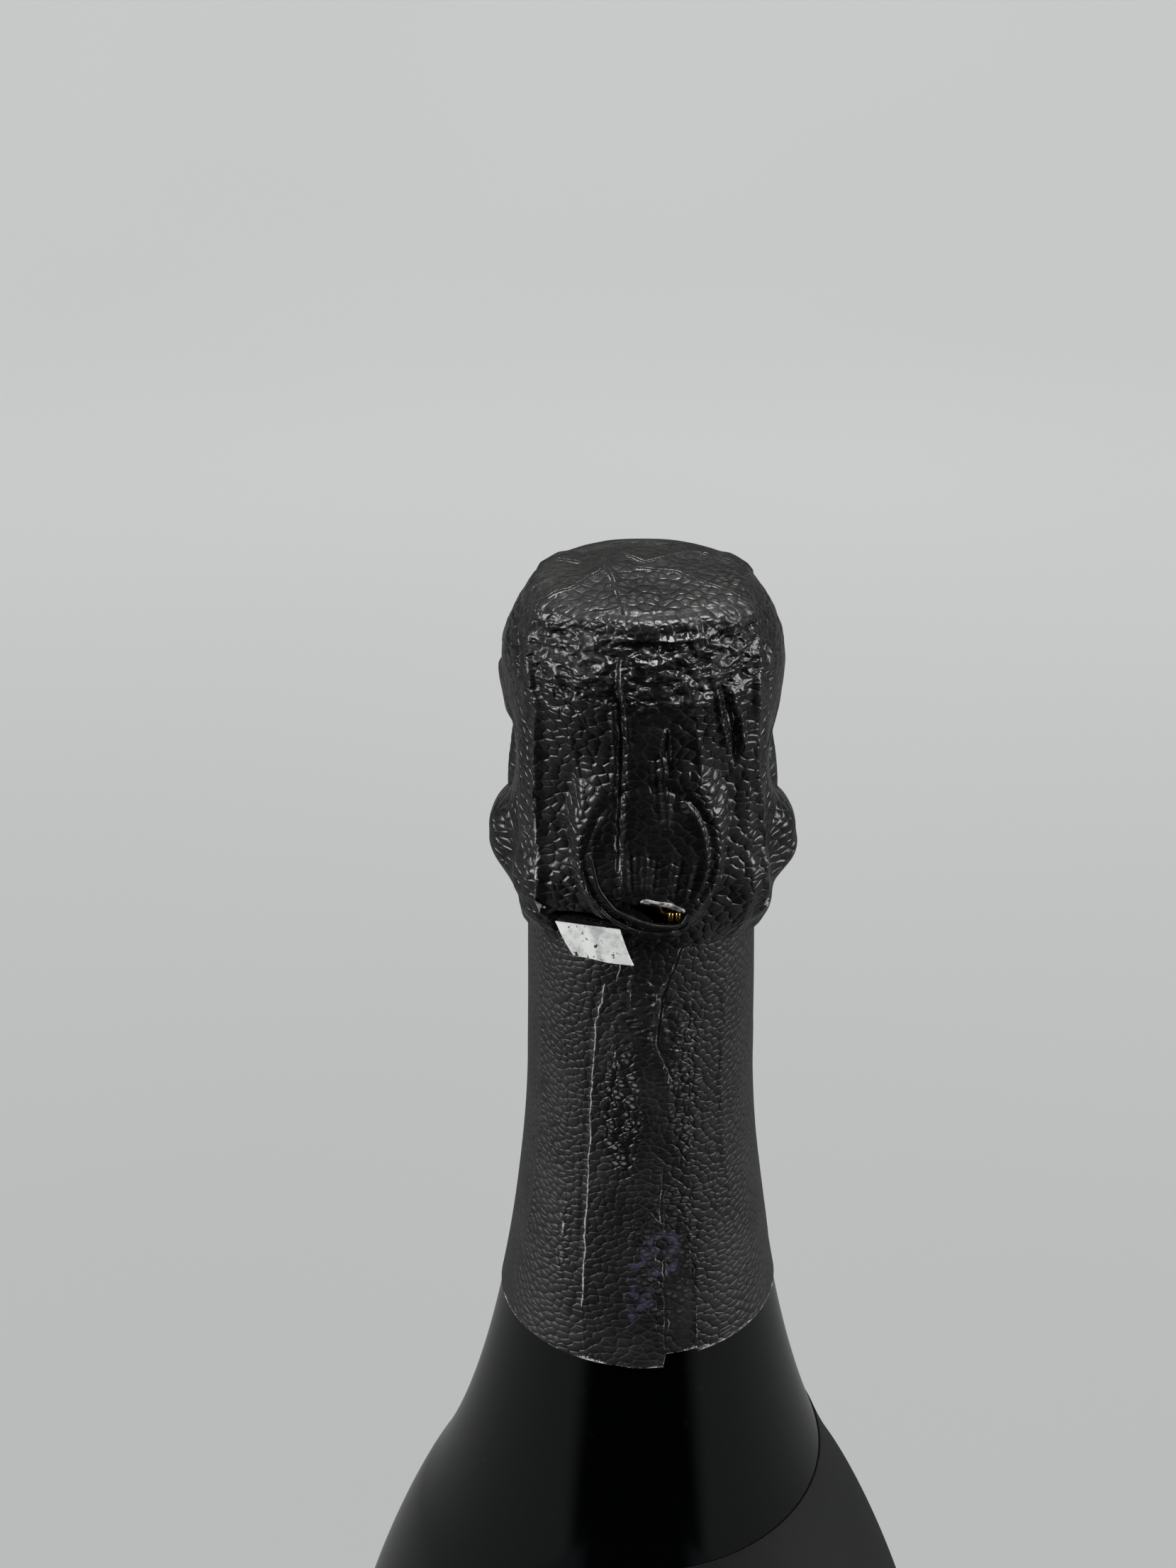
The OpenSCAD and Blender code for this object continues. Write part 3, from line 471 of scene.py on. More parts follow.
# Marked patches of the hood
HOOD_SPOTS = (
    Spot("polished", (-28, 33), (8, 2.2), 0.6),
    Spot("polished", (18, 22), (3.5, 2.2), 0.6),
    Spot("polished", (5, 7), (34, 3.6), 0.5),
    Spot("polished", (-49, 25), (4, 12), 0.5),
    Spot("polished", (51, 25), (4, 12), 0.4),
    Spot("flattened", (3.3, 28), (20, 7), 0.25),
)

# Rolled edges round the opening under the loop
LIPS = (
    Lip("lip_roll", Body.CAGE, ((-19.5, 28.5), (-16.4, 32.8), (-10.6, 35.7), (-1.2, 37.2), (5.5, 37.95),
        (12.5, 38.3), (16.2, 37.9), (17.6, 36.4)), 0.32, 0.35),
    Lip("lip_edge", Body.CAGE, ((-22, 30.8), (-19.3, 34), (-12.5, 36.7), (-5.2, 38.1), (0.2, 38.8),
        (8.3, 39.25), (15, 39.15), (19, 38)), 0.26, 0.45),
    Lip("loop_lip", Body.LOOP, ((-0.8, 34.6), (1.1, 34.35), (5.4, 34.65), (10.9, 35.15), (14, 35.6),
        (16.6, 36.2)), 0.34, 0.6),
)

# Folds and worn lines of the neck foil
NECK_FOLDS = (
    Stroke(((-18.4, 50.2), (-21.9, 54.4), (-24, 63.4), (-25.3, 78.2), (-25.2, 89.9), (-22.4, 103.5)), 0.5,
           0.14, sharp=1.2, taper=False),
    Stroke(((-11, 44.3), (-21, 50.6), (-25, 57), (-27.6, 78.2), (-27.4, 95)), 0.7, -0.12),
    Stroke(((21.3, 41.8), (17, 45.9), (7.7, 49.5), (5.5, 56.9), (13.4, 61.7), (13.5, 67)), 0.5, 0.3, 0.66,
           sharp=1.2),
    Stroke(((17.5, 50), (10.5, 53), (12.5, 58)), 0.45, 0.25, 0.62, sharp=1.2),
    Stroke(((-3.5, 46.5), (-5, 50.5), (-4, 54)), 0.45, 0.2, 0.58, sharp=1.2),
    Stroke(((-13, 53.5), (-12.5, 58.5), (-9, 62)), 0.45, 0.22, 0.68, sharp=1.2),
    Stroke(((6.7, 80.2), (8.1, 93.2), (7.7, 104.4)), 0.4, 0.14, 0.6, sharp=1.2),
    Stroke(((34.7, 82.6), (27.5, 89), (24.6, 103.6)), 0.4, 0.12, 0.58, sharp=1.2),
    Stroke(((5, 62), (3, 72), (6, 80)), 0.35, 0.1, 0.52, sharp=1.2),
    Stroke(((-41.5, 52), (-36.4, 90.5)), 0.3, 0.05, 0.42),
    Stroke(((-37.5, 84), (-36, 92)), 0.5, 0.12, 0.55),
    Stroke(((24, 84), (22.5, 93)), 0.5, 0.14, 0.5),
    Stroke(((16.5, 80), (23, 79.5)), 0.4, 0.14, 0.45),
    Stroke(((47, 46), (44, 66), (49, 88)), 0.9, 0.15, 0.15),
    Stroke(((-62, 48), (-58, 70), (-62, 98)), 0.9, 0.14, 0.12),
    Stroke(((150, 50), (156, 74), (149, 98)), 0.9, 0.15, 0.25),
    Stroke(((-130, 48), (-124, 76), (-131, 100)), 0.9, 0.15, 0.2),
    Stroke(((92, 60), (97, 82), (90, 101)), 0.9, 0.13, 0.15),
)

# Marked patches of the neck foil
NECK_SPOTS = (
    Spot("polished", (-8, 68), (10, 10.5), 0.8),
    Spot("polished", (22, 64), (9, 12.5), 0.55),
    Spot("polished", (-37, 89), (4, 6), 0.5),
    Spot("polished", (12, 88), (16, 14), 0.45),
    Spot("crumpled", (0, 53), (12, 5.5), 0.7),
    Spot("crumpled", (13, 57), (8, 7), 0.5),
    Spot("stained", (10, 88.5), (11, 4.5), 1),
    Spot("stained", (1, 94.5), (9, 5.5), 1),
    Spot("stained", (-5, 69), (11, 2), 0.75),
    Spot("flattened", (18.5, 95), (6, 9), 0.9),
    Spot("polished", (160, 75), (16, 14), 0.5),
    Spot("polished", (-110, 80), (16, 14), 0.4),
)

# Thin pale lines worn into the neck foil, lines of (angle, drop)
NECK_LINES = (
    ((-17.5, 49), (-21.9, 54.4), (-24, 63.4), (-25.3, 78.2), (-25.2, 92), (-24.6, 98)),
    ((-8.3, 43.5), (-12, 48)),
)

# Creases of the neck foil, sunk and darkened with painted shade, lines of (angle, drop)
NECK_CREASES = (
    ((20.5, 43), (10.5, 50), (8.5, 57.5), (16, 62.5)),
    ((12, 76), (10.5, 84)),
    ((35, 82), (28.5, 88.5), (25.4, 103.8)),
    ((11.5, 90), (11.6, 103)),
)


@dataclass(frozen=True)
class FoilForm:
    """Drape of the foil over cork, cage and loop, as a radius at an angle and a drop.

    The levels are shares of the hood's length. Each of the legs is an angle at its top, an angle at
    its foot and the radius of its foot, and a spread is where its tent of foil ends and how soon.
    The middle of a leg has the leg_radii at the leg_drops, and leg_turn is the drop at which it
    starts to turn to its foot, and over what length.
    """

    foil_t: float = 0.2
    head_d: float = 34.7
    top_d: float = 25.4
    waist_d: float = 31.4
    skirt_d: float = 33.4
    hood_len: float = 39.2
    head_level: float = 0.28
    waist_level: float = 0.59
    skirt_level: float = 0.84
    strip_h: float = 5.1
    strip_foot_d: float = 31.5
    top_roll: float = 0.85
    ear_swell: float = 2.7
    ear_angle: float = 97.0
    ear_drop: float = 34.0
    top_z: float = 313.95
    belt_drop: float = 35.35
    loop_angle: float = 3.3
    window_angle: float = 23.6
    window_h: float = 18.0
    window_drop: float = 28.95
    hinge_z: float = 277.0
    loop_reach: float = 16.9
    belt_r: float = 0.45
    cage_r: float = 0.375
    loop_bend: float = 52.0
    over_loop: float = 0.65
    over_leg_front: float = 0.35
    over_leg_back: float = 0.22
    front_spread: Point = (15.0, 10.0)
    back_spread: Point = (10.5, 6.5)
    ear_spread: Point = (25.0, 16.0)
    ear_half: Point = (3.9, 5.6)
    eye_reach: float = 0.925
    over_eye: float = 0.3
    leg_turn: Point = (11.0, 21.4)
    leg_drops: Tuple[float, ...] = (0.2, 0.5, 0.9, 1.8, 3.0, 5.3, 11.0, 26.6, 32.4)
    leg_radii: Tuple[float, ...] = (12.6, 13.3, 13.8, 14.4, 14.85, 15.45, 16.22, 16.58, 16.63)
    legs: Tuple[Tuple[float, float, float], ...] = (
        (-52, -52, 17.15), (52, 52, 17.15), (122, 106, 17.53), (238, 254, 17.53))

    def base(self, drop: Array) -> Array:
        """Radius between the legs.

        Args:
            drop: drops from the top.

        Returns:
            The radius at each drop.
        """

        def between(start: float, end: float, share: Array) -> Array:
            """Radius for a share of the way from one diameter to another."""
            return (start + (end - start) * share) / 2

        head, waist, skirt = (self.hood_len * share for share in
                             (self.head_level, self.waist_level, self.skirt_level))
        up = between(self.top_d, self.head_d, 1 - (1 - np.clip(drop / head, 0, 1)) ** 2.2)
        mid = between(self.head_d, self.waist_d, ease((drop - head) / (waist - head)))
        low = between(self.waist_d, self.skirt_d, ease((drop - waist) / (skirt - waist)))
        foot = between(self.skirt_d, self.strip_foot_d, ease((drop - self.hood_len) / self.strip_h))
        return np.select([drop < head, drop < waist, drop < self.hood_len], [up, mid, low], foot)

    def leg_wire(self, drop: Array, reach: float) -> Array:
        """Radius of the middle of a leg."""
        return np.interp(drop, (*self.leg_drops, self.belt_drop), (*self.leg_radii, reach))

    def over_leg(self, leg: Tuple[float, float, float], az: Array, drop: Array) -> Array:
        """How far the foil stands off its base over one leg.

        Args:
            leg: one of the legs.
            az: angles.
            drop: drops from the top.

        Returns:
            The distance at each place, in mm.
        """
        top, foot_angle, reach = leg
        turn, turn_len = self.leg_turn
        at_back = abs(top) > 90
        angle = top + (foot_angle - top) * ease((np.minimum(drop, self.belt_drop) - turn) / turn_len)
        strands = self.cage_r + 0.4 * ease((drop - 4.5) / 2.0)
        gap = self.over_leg_back if at_back else self.over_leg_front
        wire = self.leg_wire(np.minimum(drop, self.leg_drops[-1]), reach) + strands + gap
        foot = reach + self.eye_reach + self.cage_r + self.over_eye
        tall = wire + (foot - wire) * hump((drop - self.belt_drop) / 3.1, 4)
        fade = ease((self.hood_len + self.strip_h - drop) / self.strip_h)
        base = self.base(drop)
        crest = np.maximum(0, tall - base) * fade
        off = np.abs(turned(az - angle))
        if at_back:
            return crest * ease((self.back_spread[0] - off) / self.back_spread[1])
        inward = turned(angle - az) * math.copysign(1, top) - 5.0
        touch = np.arccos(np.clip(base / (base + crest), 0, 1))
        taut = base / np.cos(np.clip(touch - np.radians(np.maximum(inward, 0)), 0, None)) - base
        slack = crest * ease((self.front_spread[0] - off) / self.front_spread[1])
        return np.where(inward > -5, taut, slack)

    def ears(self, az: Array, drop: Array) -> Array:
        """Swell over the feet of the back legs.

        Args:
            az: angles.
            drop: drops from the top.

        Returns:
            The distance from the base, in mm.
        """
        off = np.minimum(*(np.abs(turned(turned(az) - way * self.ear_angle)) for way in (1, -1)))
        tall = hump((drop - self.ear_drop) / np.where(drop < self.ear_drop, *self.ear_half), 3.4)
        return self.ear_swell * tall * ease((self.ear_spread[0] - off) / self.ear_spread[1])

    def loop_y(self, x: Array, z: Array) -> Array:
        """Depth of the loop's middle line, from the bottle's axis."""
        return -(self.loop_reach + 0.2 - 0.07 * np.maximum(0, z - self.hinge_z - 3.6)) + x * x / self.loop_bend

    def in_window(self, az: Array, drop: Array) -> Tuple[Array, Array]:
        """Place in the oval of the loop's foil, whose edge is at a distance of 1."""
        return (turned(az - self.loop_angle) / self.window_angle,
                (drop - self.window_drop) * 2 / self.window_h)

    def rim(self, az: Array, drop: Array) -> Array:
        """Radius of the foil that lies on the loop.

        Args:
            az: angles.
            drop: drops from the top.

        Returns:
            The radius at each place.
        """
        a = np.radians(np.clip(turned(az - self.loop_angle), -60, 60))
        y = -self.loop_y(0 * a, self.top_z - drop) + self.belt_r + self.over_loop
        x = y * np.sin(a)
        return (y - x * x / self.loop_bend) / np.cos(a)

    def radius(self, az: Array, drop: Array) -> Array:
        """Outside radius of the foil, without its small folds.

        Args:
            az: angles.
            drop: drops from the top.

        Returns:
            The radius at each place.
        """
        front = ease((88 - np.abs(turned(az))) / 34)
        edge = ease(drop / 0.32) * hump(np.maximum(drop - 0.5, 0) / 1.15)
        base = self.base(drop) + self.top_roll * front * edge
        u, v = self.in_window(az, drop)
        above = 0.4 * ease((0.2 - v) / 0.8)
        swell = ease((1.5 + above - np.hypot(u, v)) / (0.42 + above)) * ease((1.5 - v) / 0.5)
        out = base + (np.maximum(base, self.rim(az, drop)) - base) * swell
        out = np.maximum(out, base + self.ears(az, drop))
        for leg in self.legs:
            out = np.maximum(out, base + self.over_leg(leg, az, drop))
        return out


# Mesh helpers


def deselect() -> None:
    """Leaves nothing selected or active."""
    if bpy.context.object and bpy.context.object.mode != "OBJECT":
        bpy.ops.object.mode_set(mode="OBJECT")
    bpy.ops.object.select_all(action="DESELECT")
    bpy.context.view_layer.objects.active = None


def focus(obj: Piece) -> None:
    """Makes one object the only selected and the active one.

    Args:
        obj: the object.
    """
    deselect()
    obj.select_set(True)
    bpy.context.view_layer.objects.active = obj


@contextmanager
def editing(obj: Piece, chosen: str = "SELECT") -> Iterator[None]:
    """Edit mode on one object, with all of its mesh selected or deselected at the start.

    Args:
        obj: the object.
        chosen: SELECT or DESELECT.

    Returns:
        Nothing, for use in a with statement.
    """
    focus(obj)
    bpy.ops.object.mode_set(mode="EDIT")
    bpy.ops.mesh.select_all(action=chosen)
    yield
    bpy.ops.object.mode_set(mode="OBJECT")


def placed(name: str, data: bpy.types.ID) -> Piece:
    """A new object in the scene.

    Args:
        name: its name.
        data: its mesh, lamp or camera.

    Returns:
        The object.
    """
    obj = bpy.data.objects.new(name, data)
    bpy.context.scene.collection.objects.link(obj)
    return obj


def read(items: bpy.types.bpy_prop_collection, key: str, width: int) -> Array:
    """A property of every vertex or face, one row each.

    Args:
        items: the vertices or faces.
        key: name of the property.
        width: numbers in each row.

    Returns:
        An array.
    """
    values = np.empty(len(items) * width, np.float32)
    items.foreach_get(key, values)
    return values.reshape(-1, width)


def grid_piece(name: str, columns: int, rows: int) -> Tuple[Piece, Array, Array]:
    """A flat grid primitive, to be wrapped into a sheet.

    Args:
        name: name of the piece.
        columns: cells along x.
        rows: cells along y.

    Returns:
        The new object, and the x and y of its points, which run from 0 to 1.
    """
    deselect()
    bpy.ops.mesh.primitive_grid_add(x_subdivisions=columns, y_subdivisions=rows, size=1, calc_uvs=True)
    obj = bpy.context.object
    obj.name = obj.data.name = name
    co = read(obj.data.vertices, "co", 3)
    co[:, :2] += 0.5
    return obj, co[:, 0].astype(float), co[:, 1].astype(float)


def set_coords(obj: Piece, co: Array) -> None:
    """Writes vertex positions."""
    obj.data.vertices.foreach_set("co", np.asarray(co, np.float32).ravel())
    obj.data.update()


def set_uv(obj: Piece, uv: Array, other: Optional[Array] = None,
           where: Optional[Array] = None) -> None:
    """Gives each corner the pattern coordinate of its vertex.

    Args:
        obj: the piece, a grid of quads.
        uv: one (u, v) per vertex, in mm along the sheet.
        other: coordinates used instead on some faces.
        where: whether a vertex belongs to those faces; a face takes part if all its corners do.
    """
    corners = np.empty(len(obj.data.loops), np.int32)
    obj.data.loops.foreach_get("vertex_index", corners)
    layer = obj.data.uv_layers.active
    layer.name = "Sheet"
    value = uv[corners]
    if other is not None and where is not None:
        inside = np.repeat(where[corners].reshape(-1, 4).all(1), 4)
        value[inside] = other[corners][inside]
    layer.data.foreach_set("uv", np.asarray(value, np.float32).ravel())


def set_attribute(obj: Piece, name: str, values: Array) -> None:
    """Stores a value per vertex for the materials."""
    layer = obj.data.attributes.new(name, "FLOAT", "POINT")
    layer.data.foreach_set("value", np.asarray(values, np.float32))


def store_marks(obj: Piece, az: Array, drop: Array, folds: Sequence[Stroke],
                spots: Sequence[Spot], base: Dict[str, Union[float, Array]]) -> None:
    """Stores on a foil piece where each of the marks shows.

    Args:
        obj: the piece.
        az: angle of each vertex.
        drop: drop of each vertex.
        folds: strokes whose crests may be rubbed or pressed.
        spots: ovals that carry marks.
        base: value, or one per vertex, of a mark where nothing else sets it.
    """
    for mark in MARKS:
        value = np.zeros_like(az) + base.get(mark, 0.0)
        for spot in spots:
            if spot.mark == mark:
                value = np.maximum(value, spot.over(az, drop))
        field = {"rubbed": "worn", "flattened": "pressed"}.get(mark)
        for fold in folds:
            strength = getattr(fold, field) if field else 0.0
            if strength > 0:
                value = np.maximum(value, strength * fold.over(az, drop))
        set_attribute(obj, mark, value)


def close_up(obj: Piece, gap: float = 1e-6) -> None:
    """Merges doubled points along seams and poles, and turns the faces away from the bottle's axis.

    Args:
        obj: the piece.
        gap: widest distance merged, in metres.
    """
    with editing(obj):
        bpy.ops.mesh.remove_doubles(threshold=gap)
        bpy.ops.mesh.dissolve_degenerate(threshold=gap)
        bpy.ops.mesh.normals_make_consistent(inside=False)
    faces = obj.data.polygons
    mid, normal, area = read(faces, "center", 3), read(faces, "normal", 3), read(faces, "area", 1)
    if (mid[:, :2] * normal[:, :2]).sum(1) @ area[:, 0] < 0:
        with editing(obj):
            bpy.ops.mesh.flip_normals()


def apply_modifiers(obj: Piece) -> None:
    """Applies every modifier, in order.

    Args:
        obj: the piece.
    """
    focus(obj)
    for m in list(obj.modifiers):
        bpy.ops.object.modifier_apply(modifier=m.name)


def thicken(obj: Piece, thickness: float) -> None:
    """Gives a sheet its wall, on its inner side.

    Args:
        obj: the piece.
        thickness: of the wall.
    """
    m = obj.modifiers.new("wall", "SOLIDIFY")
    m.thickness, m.offset, m.use_rim = thickness * MM, -1, True
    apply_modifiers(obj)


def smooth(obj: Piece, angle: float) -> None:
    """Smooth shading with sharp edges above an angle."""
    focus(obj)
    bpy.ops.object.shade_smooth_by_angle(angle=math.radians(angle))


def finish_sheet(obj: Piece, thickness: float, angle: float = 60) -> None:
    """Closes a wrapped sheet, gives it its wall and smooths it.

    Args:
        obj: the piece.
        thickness: of the wall.
        angle: above which an edge stays sharp.
    """
    close_up(obj)
    thicken(obj, thickness)
    smooth(obj, angle)


def drop_faces(obj: Piece, gone: Callable[[Array], Array]) -> None:
    """Deletes the faces whose middles satisfy a test.

    Args:
        obj: the piece, before its wall is made.
        gone: takes face centres in mm and gives a mask.
    """
    mask = gone(read(obj.data.polygons, "center", 3) / MM)
    with editing(obj, "DESELECT"):
        bpy.ops.mesh.select_mode(type="FACE")
    obj.data.polygons.foreach_set("select", mask)
    bpy.ops.object.mode_set(mode="EDIT")
    if mask.any():
        bpy.ops.mesh.delete(type="FACE")
    bpy.ops.mesh.select_mode(type="VERT")
    bpy.ops.object.mode_set(mode="OBJECT")


def revolved(name: str, outline: Array, columns: int) -> Piece:
    """A solid of revolution.

    Args:
        name: name of the piece.
        outline: rows of (radius, height) that start and end on the axis.
        columns: faces round it.

    Returns:
        The new piece.
    """
    rows = len(outline) - 1
    obj, u, v = grid_piece(name, columns, rows)
    r, z = outline[np.rint(v * rows).astype(int)].T
    set_uv(obj, unrolled(u * 360, z, 30.0))
    set_coords(obj, polar(r, u * 360, z))
    close_up(obj)
    smooth(obj, 40)
    return obj


# Node helpers


class Graph:
    """Short calls for building a node tree."""

    def __init__(self, tree: Tree) -> None:
        """Takes the tree to build in."""
        self.tree = tree

    def link(self, source: Value, target: Socket) -> None:
        """Links a socket to a socket, or sets a plain value or colour.

        Args:
            source: a socket, or what to set.
            target: the input.
        """
        if isinstance(source, Socket):
            self.tree.links.new(source, target)
        else:
            target.default_value = (*source[:3], 1.0) if target.type == "RGBA" else source

    def feed(self, node: Node, inputs: Inputs) -> None:
        """Links or sets a node's inputs, by name or number."""
        for key, value in inputs.items():
            self.link(value, node.inputs[key])

    def add(self, kind: str, inputs: Optional[Inputs] = None, **props: object) -> Node:
        """A new shader node.

        Args:
            kind: its type, without the leading ShaderNode.
            inputs: what goes into its inputs, by name or number.
            props: its properties by name.

        Returns:
            The node.
        """
        node = self.tree.nodes.new(f"ShaderNode{kind}")
        for key, value in props.items():
            setattr(node, key, value)
        self.feed(node, inputs or {})
        return node

    def math(self, op: str, *values: Value, clamp: bool = False) -> Socket:
        """Result of a Math node."""
        return self.add("Math", dict(enumerate(values)), operation=op, use_clamp=clamp).outputs[0]

    def vector(self, op: str, *values: Value) -> Node:
        """A Vector Math node."""
        return self.add("VectorMath", dict(enumerate(values)), operation=op)

    def times(self, *values: Value) -> Socket:
        """Product of two values."""
        return self.math("MULTIPLY", *values)

    def plus(self, value: Value, factor: Value, base: Value, clamp: bool = False) -> Socket:
        """A base with a value times a factor added."""
        return self.math("MULTIPLY_ADD", value, factor, base, clamp=clamp)

    def most(self, first: Value, *others: Value) -> Socket:
        """Largest of some values.

        Args:
            first: one value.
            others: the rest.

        Returns:
            The result socket.
        """
        for other in others:
            first = self.math("MAXIMUM", first, other)
        return first

    def ramp(self, value: Value, low: float, high: float, to_low: float = 0.0, to_high: float = 1.0) -> Socket:
        """A value mapped smoothly from one range to another."""
        span = {"Value": value, "From Min": low, "From Max": high, "To Min": to_low, "To Max": to_high}
        return self.add("MapRange", span, interpolation_type="SMOOTHSTEP").outputs[0]

    def mix(self, share: Value, a: Value, b: Value) -> Socket:
        """Colour between two colours."""
        return self.add("Mix", {0: share, 6: a, 7: b}, data_type="RGBA").outputs[2]

    def noise(self, vector: Value, scale: Value, detail: float = 3.0, rough: float = 0.5) -> Socket:
        """Value of a noise texture."""
        sizes = {"Vector": vector, "Scale": scale, "Detail": detail, "Roughness": rough}
        return self.add("TexNoise", sizes).outputs[0]

    def stretch(self, vector: Value, scale: Tuple[float, float, float]) -> Socket:
        """A vector scaled along each axis."""
        return self.add("Mapping", {"Vector": vector, "Scale": scale}).outputs[0]

    def attribute(self, name: str) -> Socket:
        """Value that a mesh stores under a name."""
        return self.add("Attribute", attribute_name=name).outputs["Fac"]

    def sheet(self) -> Socket:
        """Pattern coordinates in mm along a sheet."""
        return self.add("UVMap", uv_map="Sheet").outputs[0]

    def place(self) -> Socket:
        """Object coordinates in metres."""
        return self.add("TexCoord").outputs["Object"]

    def bump(self, height: Value, distance: float) -> Socket:
        """Normal from a height, with distance in mm."""
        return self.add("Bump", {"Strength": 1.0, "Distance": distance * MM, "Height": height}).outputs[0]

    def effect(self, group: Tree, **values: Value) -> Sockets:
        """Outputs of a placed node group, whose inputs are set by name."""
        return self.add("Group", values, node_tree=group).outputs


def new_group(name: str, inputs: Dict[str, str], outputs: Sequence[str]) -> Tuple[Graph, Sockets, Sockets]:
    """An empty effect group.

    Args:
        name: name of the effect.
        inputs: socket names with their kinds, Float or Vector.
        outputs: names of value sockets.

    Returns:
        The graph inside, the sockets that bring its inputs and those that take its outputs.
    """
    tree = bpy.data.node_groups.new(name, "ShaderNodeTree")
    for key, kind in inputs.items():
        tree.interface.new_socket(key, in_out="INPUT", socket_type=f"NodeSocket{kind}")
    for key in outputs:
        tree.interface.new_socket(key, in_out="OUTPUT", socket_type="NodeSocketFloat")
    return Graph(tree), tree.nodes.new("NodeGroupInput").outputs, tree.nodes.new("NodeGroupOutput").inputs


class Effects:
    """Shader effects that more than one finish uses, each built once."""

    def __init__(self) -> None:
        """Builds the groups."""
        self.pebble = self._pebble()
        self.crease = self._crease()
        self.wear = self._wear()
        self.haze = self._haze()

    @staticmethod
    def _pebble() -> Tree:
        """Embossed grain: rounded cells with valleys between them."""
        g, src, out = new_group("pebble_grain", {"Vector": "Vector", "Cells": "Float", "Loose": "Float"},
                                ["Height", "Crest", "Valley"])
        warp = g.add("TexNoise", {"Vector": src["Vector"], "Scale": 0.35}).outputs["Color"]
        skewed = g.add("VectorRotate", {"Vector": src["Vector"], "Angle": 0.62}, rotation_type="Z_AXIS")
        place = g.vector("MULTIPLY_ADD", warp, (0.9, 0.9, 0.0), skewed.outputs[0]).outputs[0]
        cells = {"Vector": place, "Scale": src["Cells"], "Randomness": src["Loose"]}
        gap, dome = (g.add("TexVoronoi", cells, voronoi_dimensions="2D", feature=feature).outputs["Distance"]
                     for feature in ("DISTANCE_TO_EDGE", "F1"))
        edge = g.ramp(gap, 0.0, 0.2)
        crest = g.plus(g.times(dome, dome), -1.7, 1.0, clamp=True)
        g.link(g.plus(crest, 0.75, g.times(edge, 0.25)), out["Height"])
        g.link(g.times(crest, edge), out["Crest"])
        g.link(g.math("SUBTRACT", 1.0, edge), out["Valley"])
        return g.tree

    @staticmethod
    def _crease() -> Tree:
        """Distance from one straight crease, in the units of the vector."""
        g, src, out = new_group("crease_distance", {"Vector": "Vector", "From": "Vector", "To": "Vector"},
                                ["Distance"])
        off, run = (g.vector("SUBTRACT", src[name], src["From"]).outputs[0] for name in ("Vector", "To"))
        along, length = (g.vector("DOT_PRODUCT", other, run).outputs["Value"] for other in (off, run))
        share = g.math("DIVIDE", along, length, clamp=True)
        foot = g.add("VectorMath", {0: run, "Scale": share}, operation="SCALE").outputs[0]
        g.link(g.vector("DISTANCE", off, foot).outputs["Value"], out["Distance"])
        return g.tree

    @staticmethod
    def _wear() -> Tree:
        """Rubbed and scratched places: a painted mask broken up by fine noise."""
        g, src, out = new_group("rubbed_wear", {"Vector": "Vector", "Mask": "Float", "Fine": "Float"}, ["Wear"])
        keep = g.math("SUBTRACT", g.noise(src["Vector"], src["Fine"], 5.0, 0.7), 1.05)
        keep = g.plus(src["Mask"], 1.1, keep)
        keep = g.plus(g.math("SUBTRACT", g.noise(src["Vector"], 0.45, 2.0), 0.5), 0.9, keep)
        g.link(g.ramp(keep, 0.04, 0.2), out["Wear"])
        return g.tree

    @staticmethod
    def _haze() -> Tree:
        """Cloudy variation from handling, and specks of dust."""
        g, src, out = new_group("handled_haze", {"Vector": "Vector", "Size": "Float"}, ["Cloud", "Speck"])
        g.link(g.ramp(g.noise(src["Vector"], src["Size"], 3.0), 0.35, 0.68), out["Cloud"])
        g.link(g.ramp(g.noise(src["Vector"], g.times(src["Size"], 22.0), 2.0), 0.68, 0.76), out["Speck"])
        return g.tree


# Finishes


def blank_material(name: str) -> Tuple[Material, Graph]:
    """A new material without nodes, and its graph.

    Args:
        name: of the material.

    Returns:
        The material and the graph.
    """
    mat = bpy.data.materials.new(name)
    mat.use_nodes = True
    mat.node_tree.nodes.clear()
    return mat, Graph(mat.node_tree)


@dataclass(frozen=True)
class Finish:
    """A named material round one Principled shader."""

    name: str

    def make(self, fx: Effects) -> Material:
        """Builds the material.

        Args:
            fx: the shared effects.

        Returns:
            The new material.
        """
        mat, g = blank_material(self.name)
        shader = g.add("BsdfPrincipled")
        g.add("OutputMaterial", {"Surface": shader.outputs[0]})
        g.feed(shader, self.paint(g, fx))
        return mat

    def paint(self, g: Graph, fx: Effects) -> Inputs:
        """What goes into the shader's sockets, by their names."""
        raise NotImplementedError


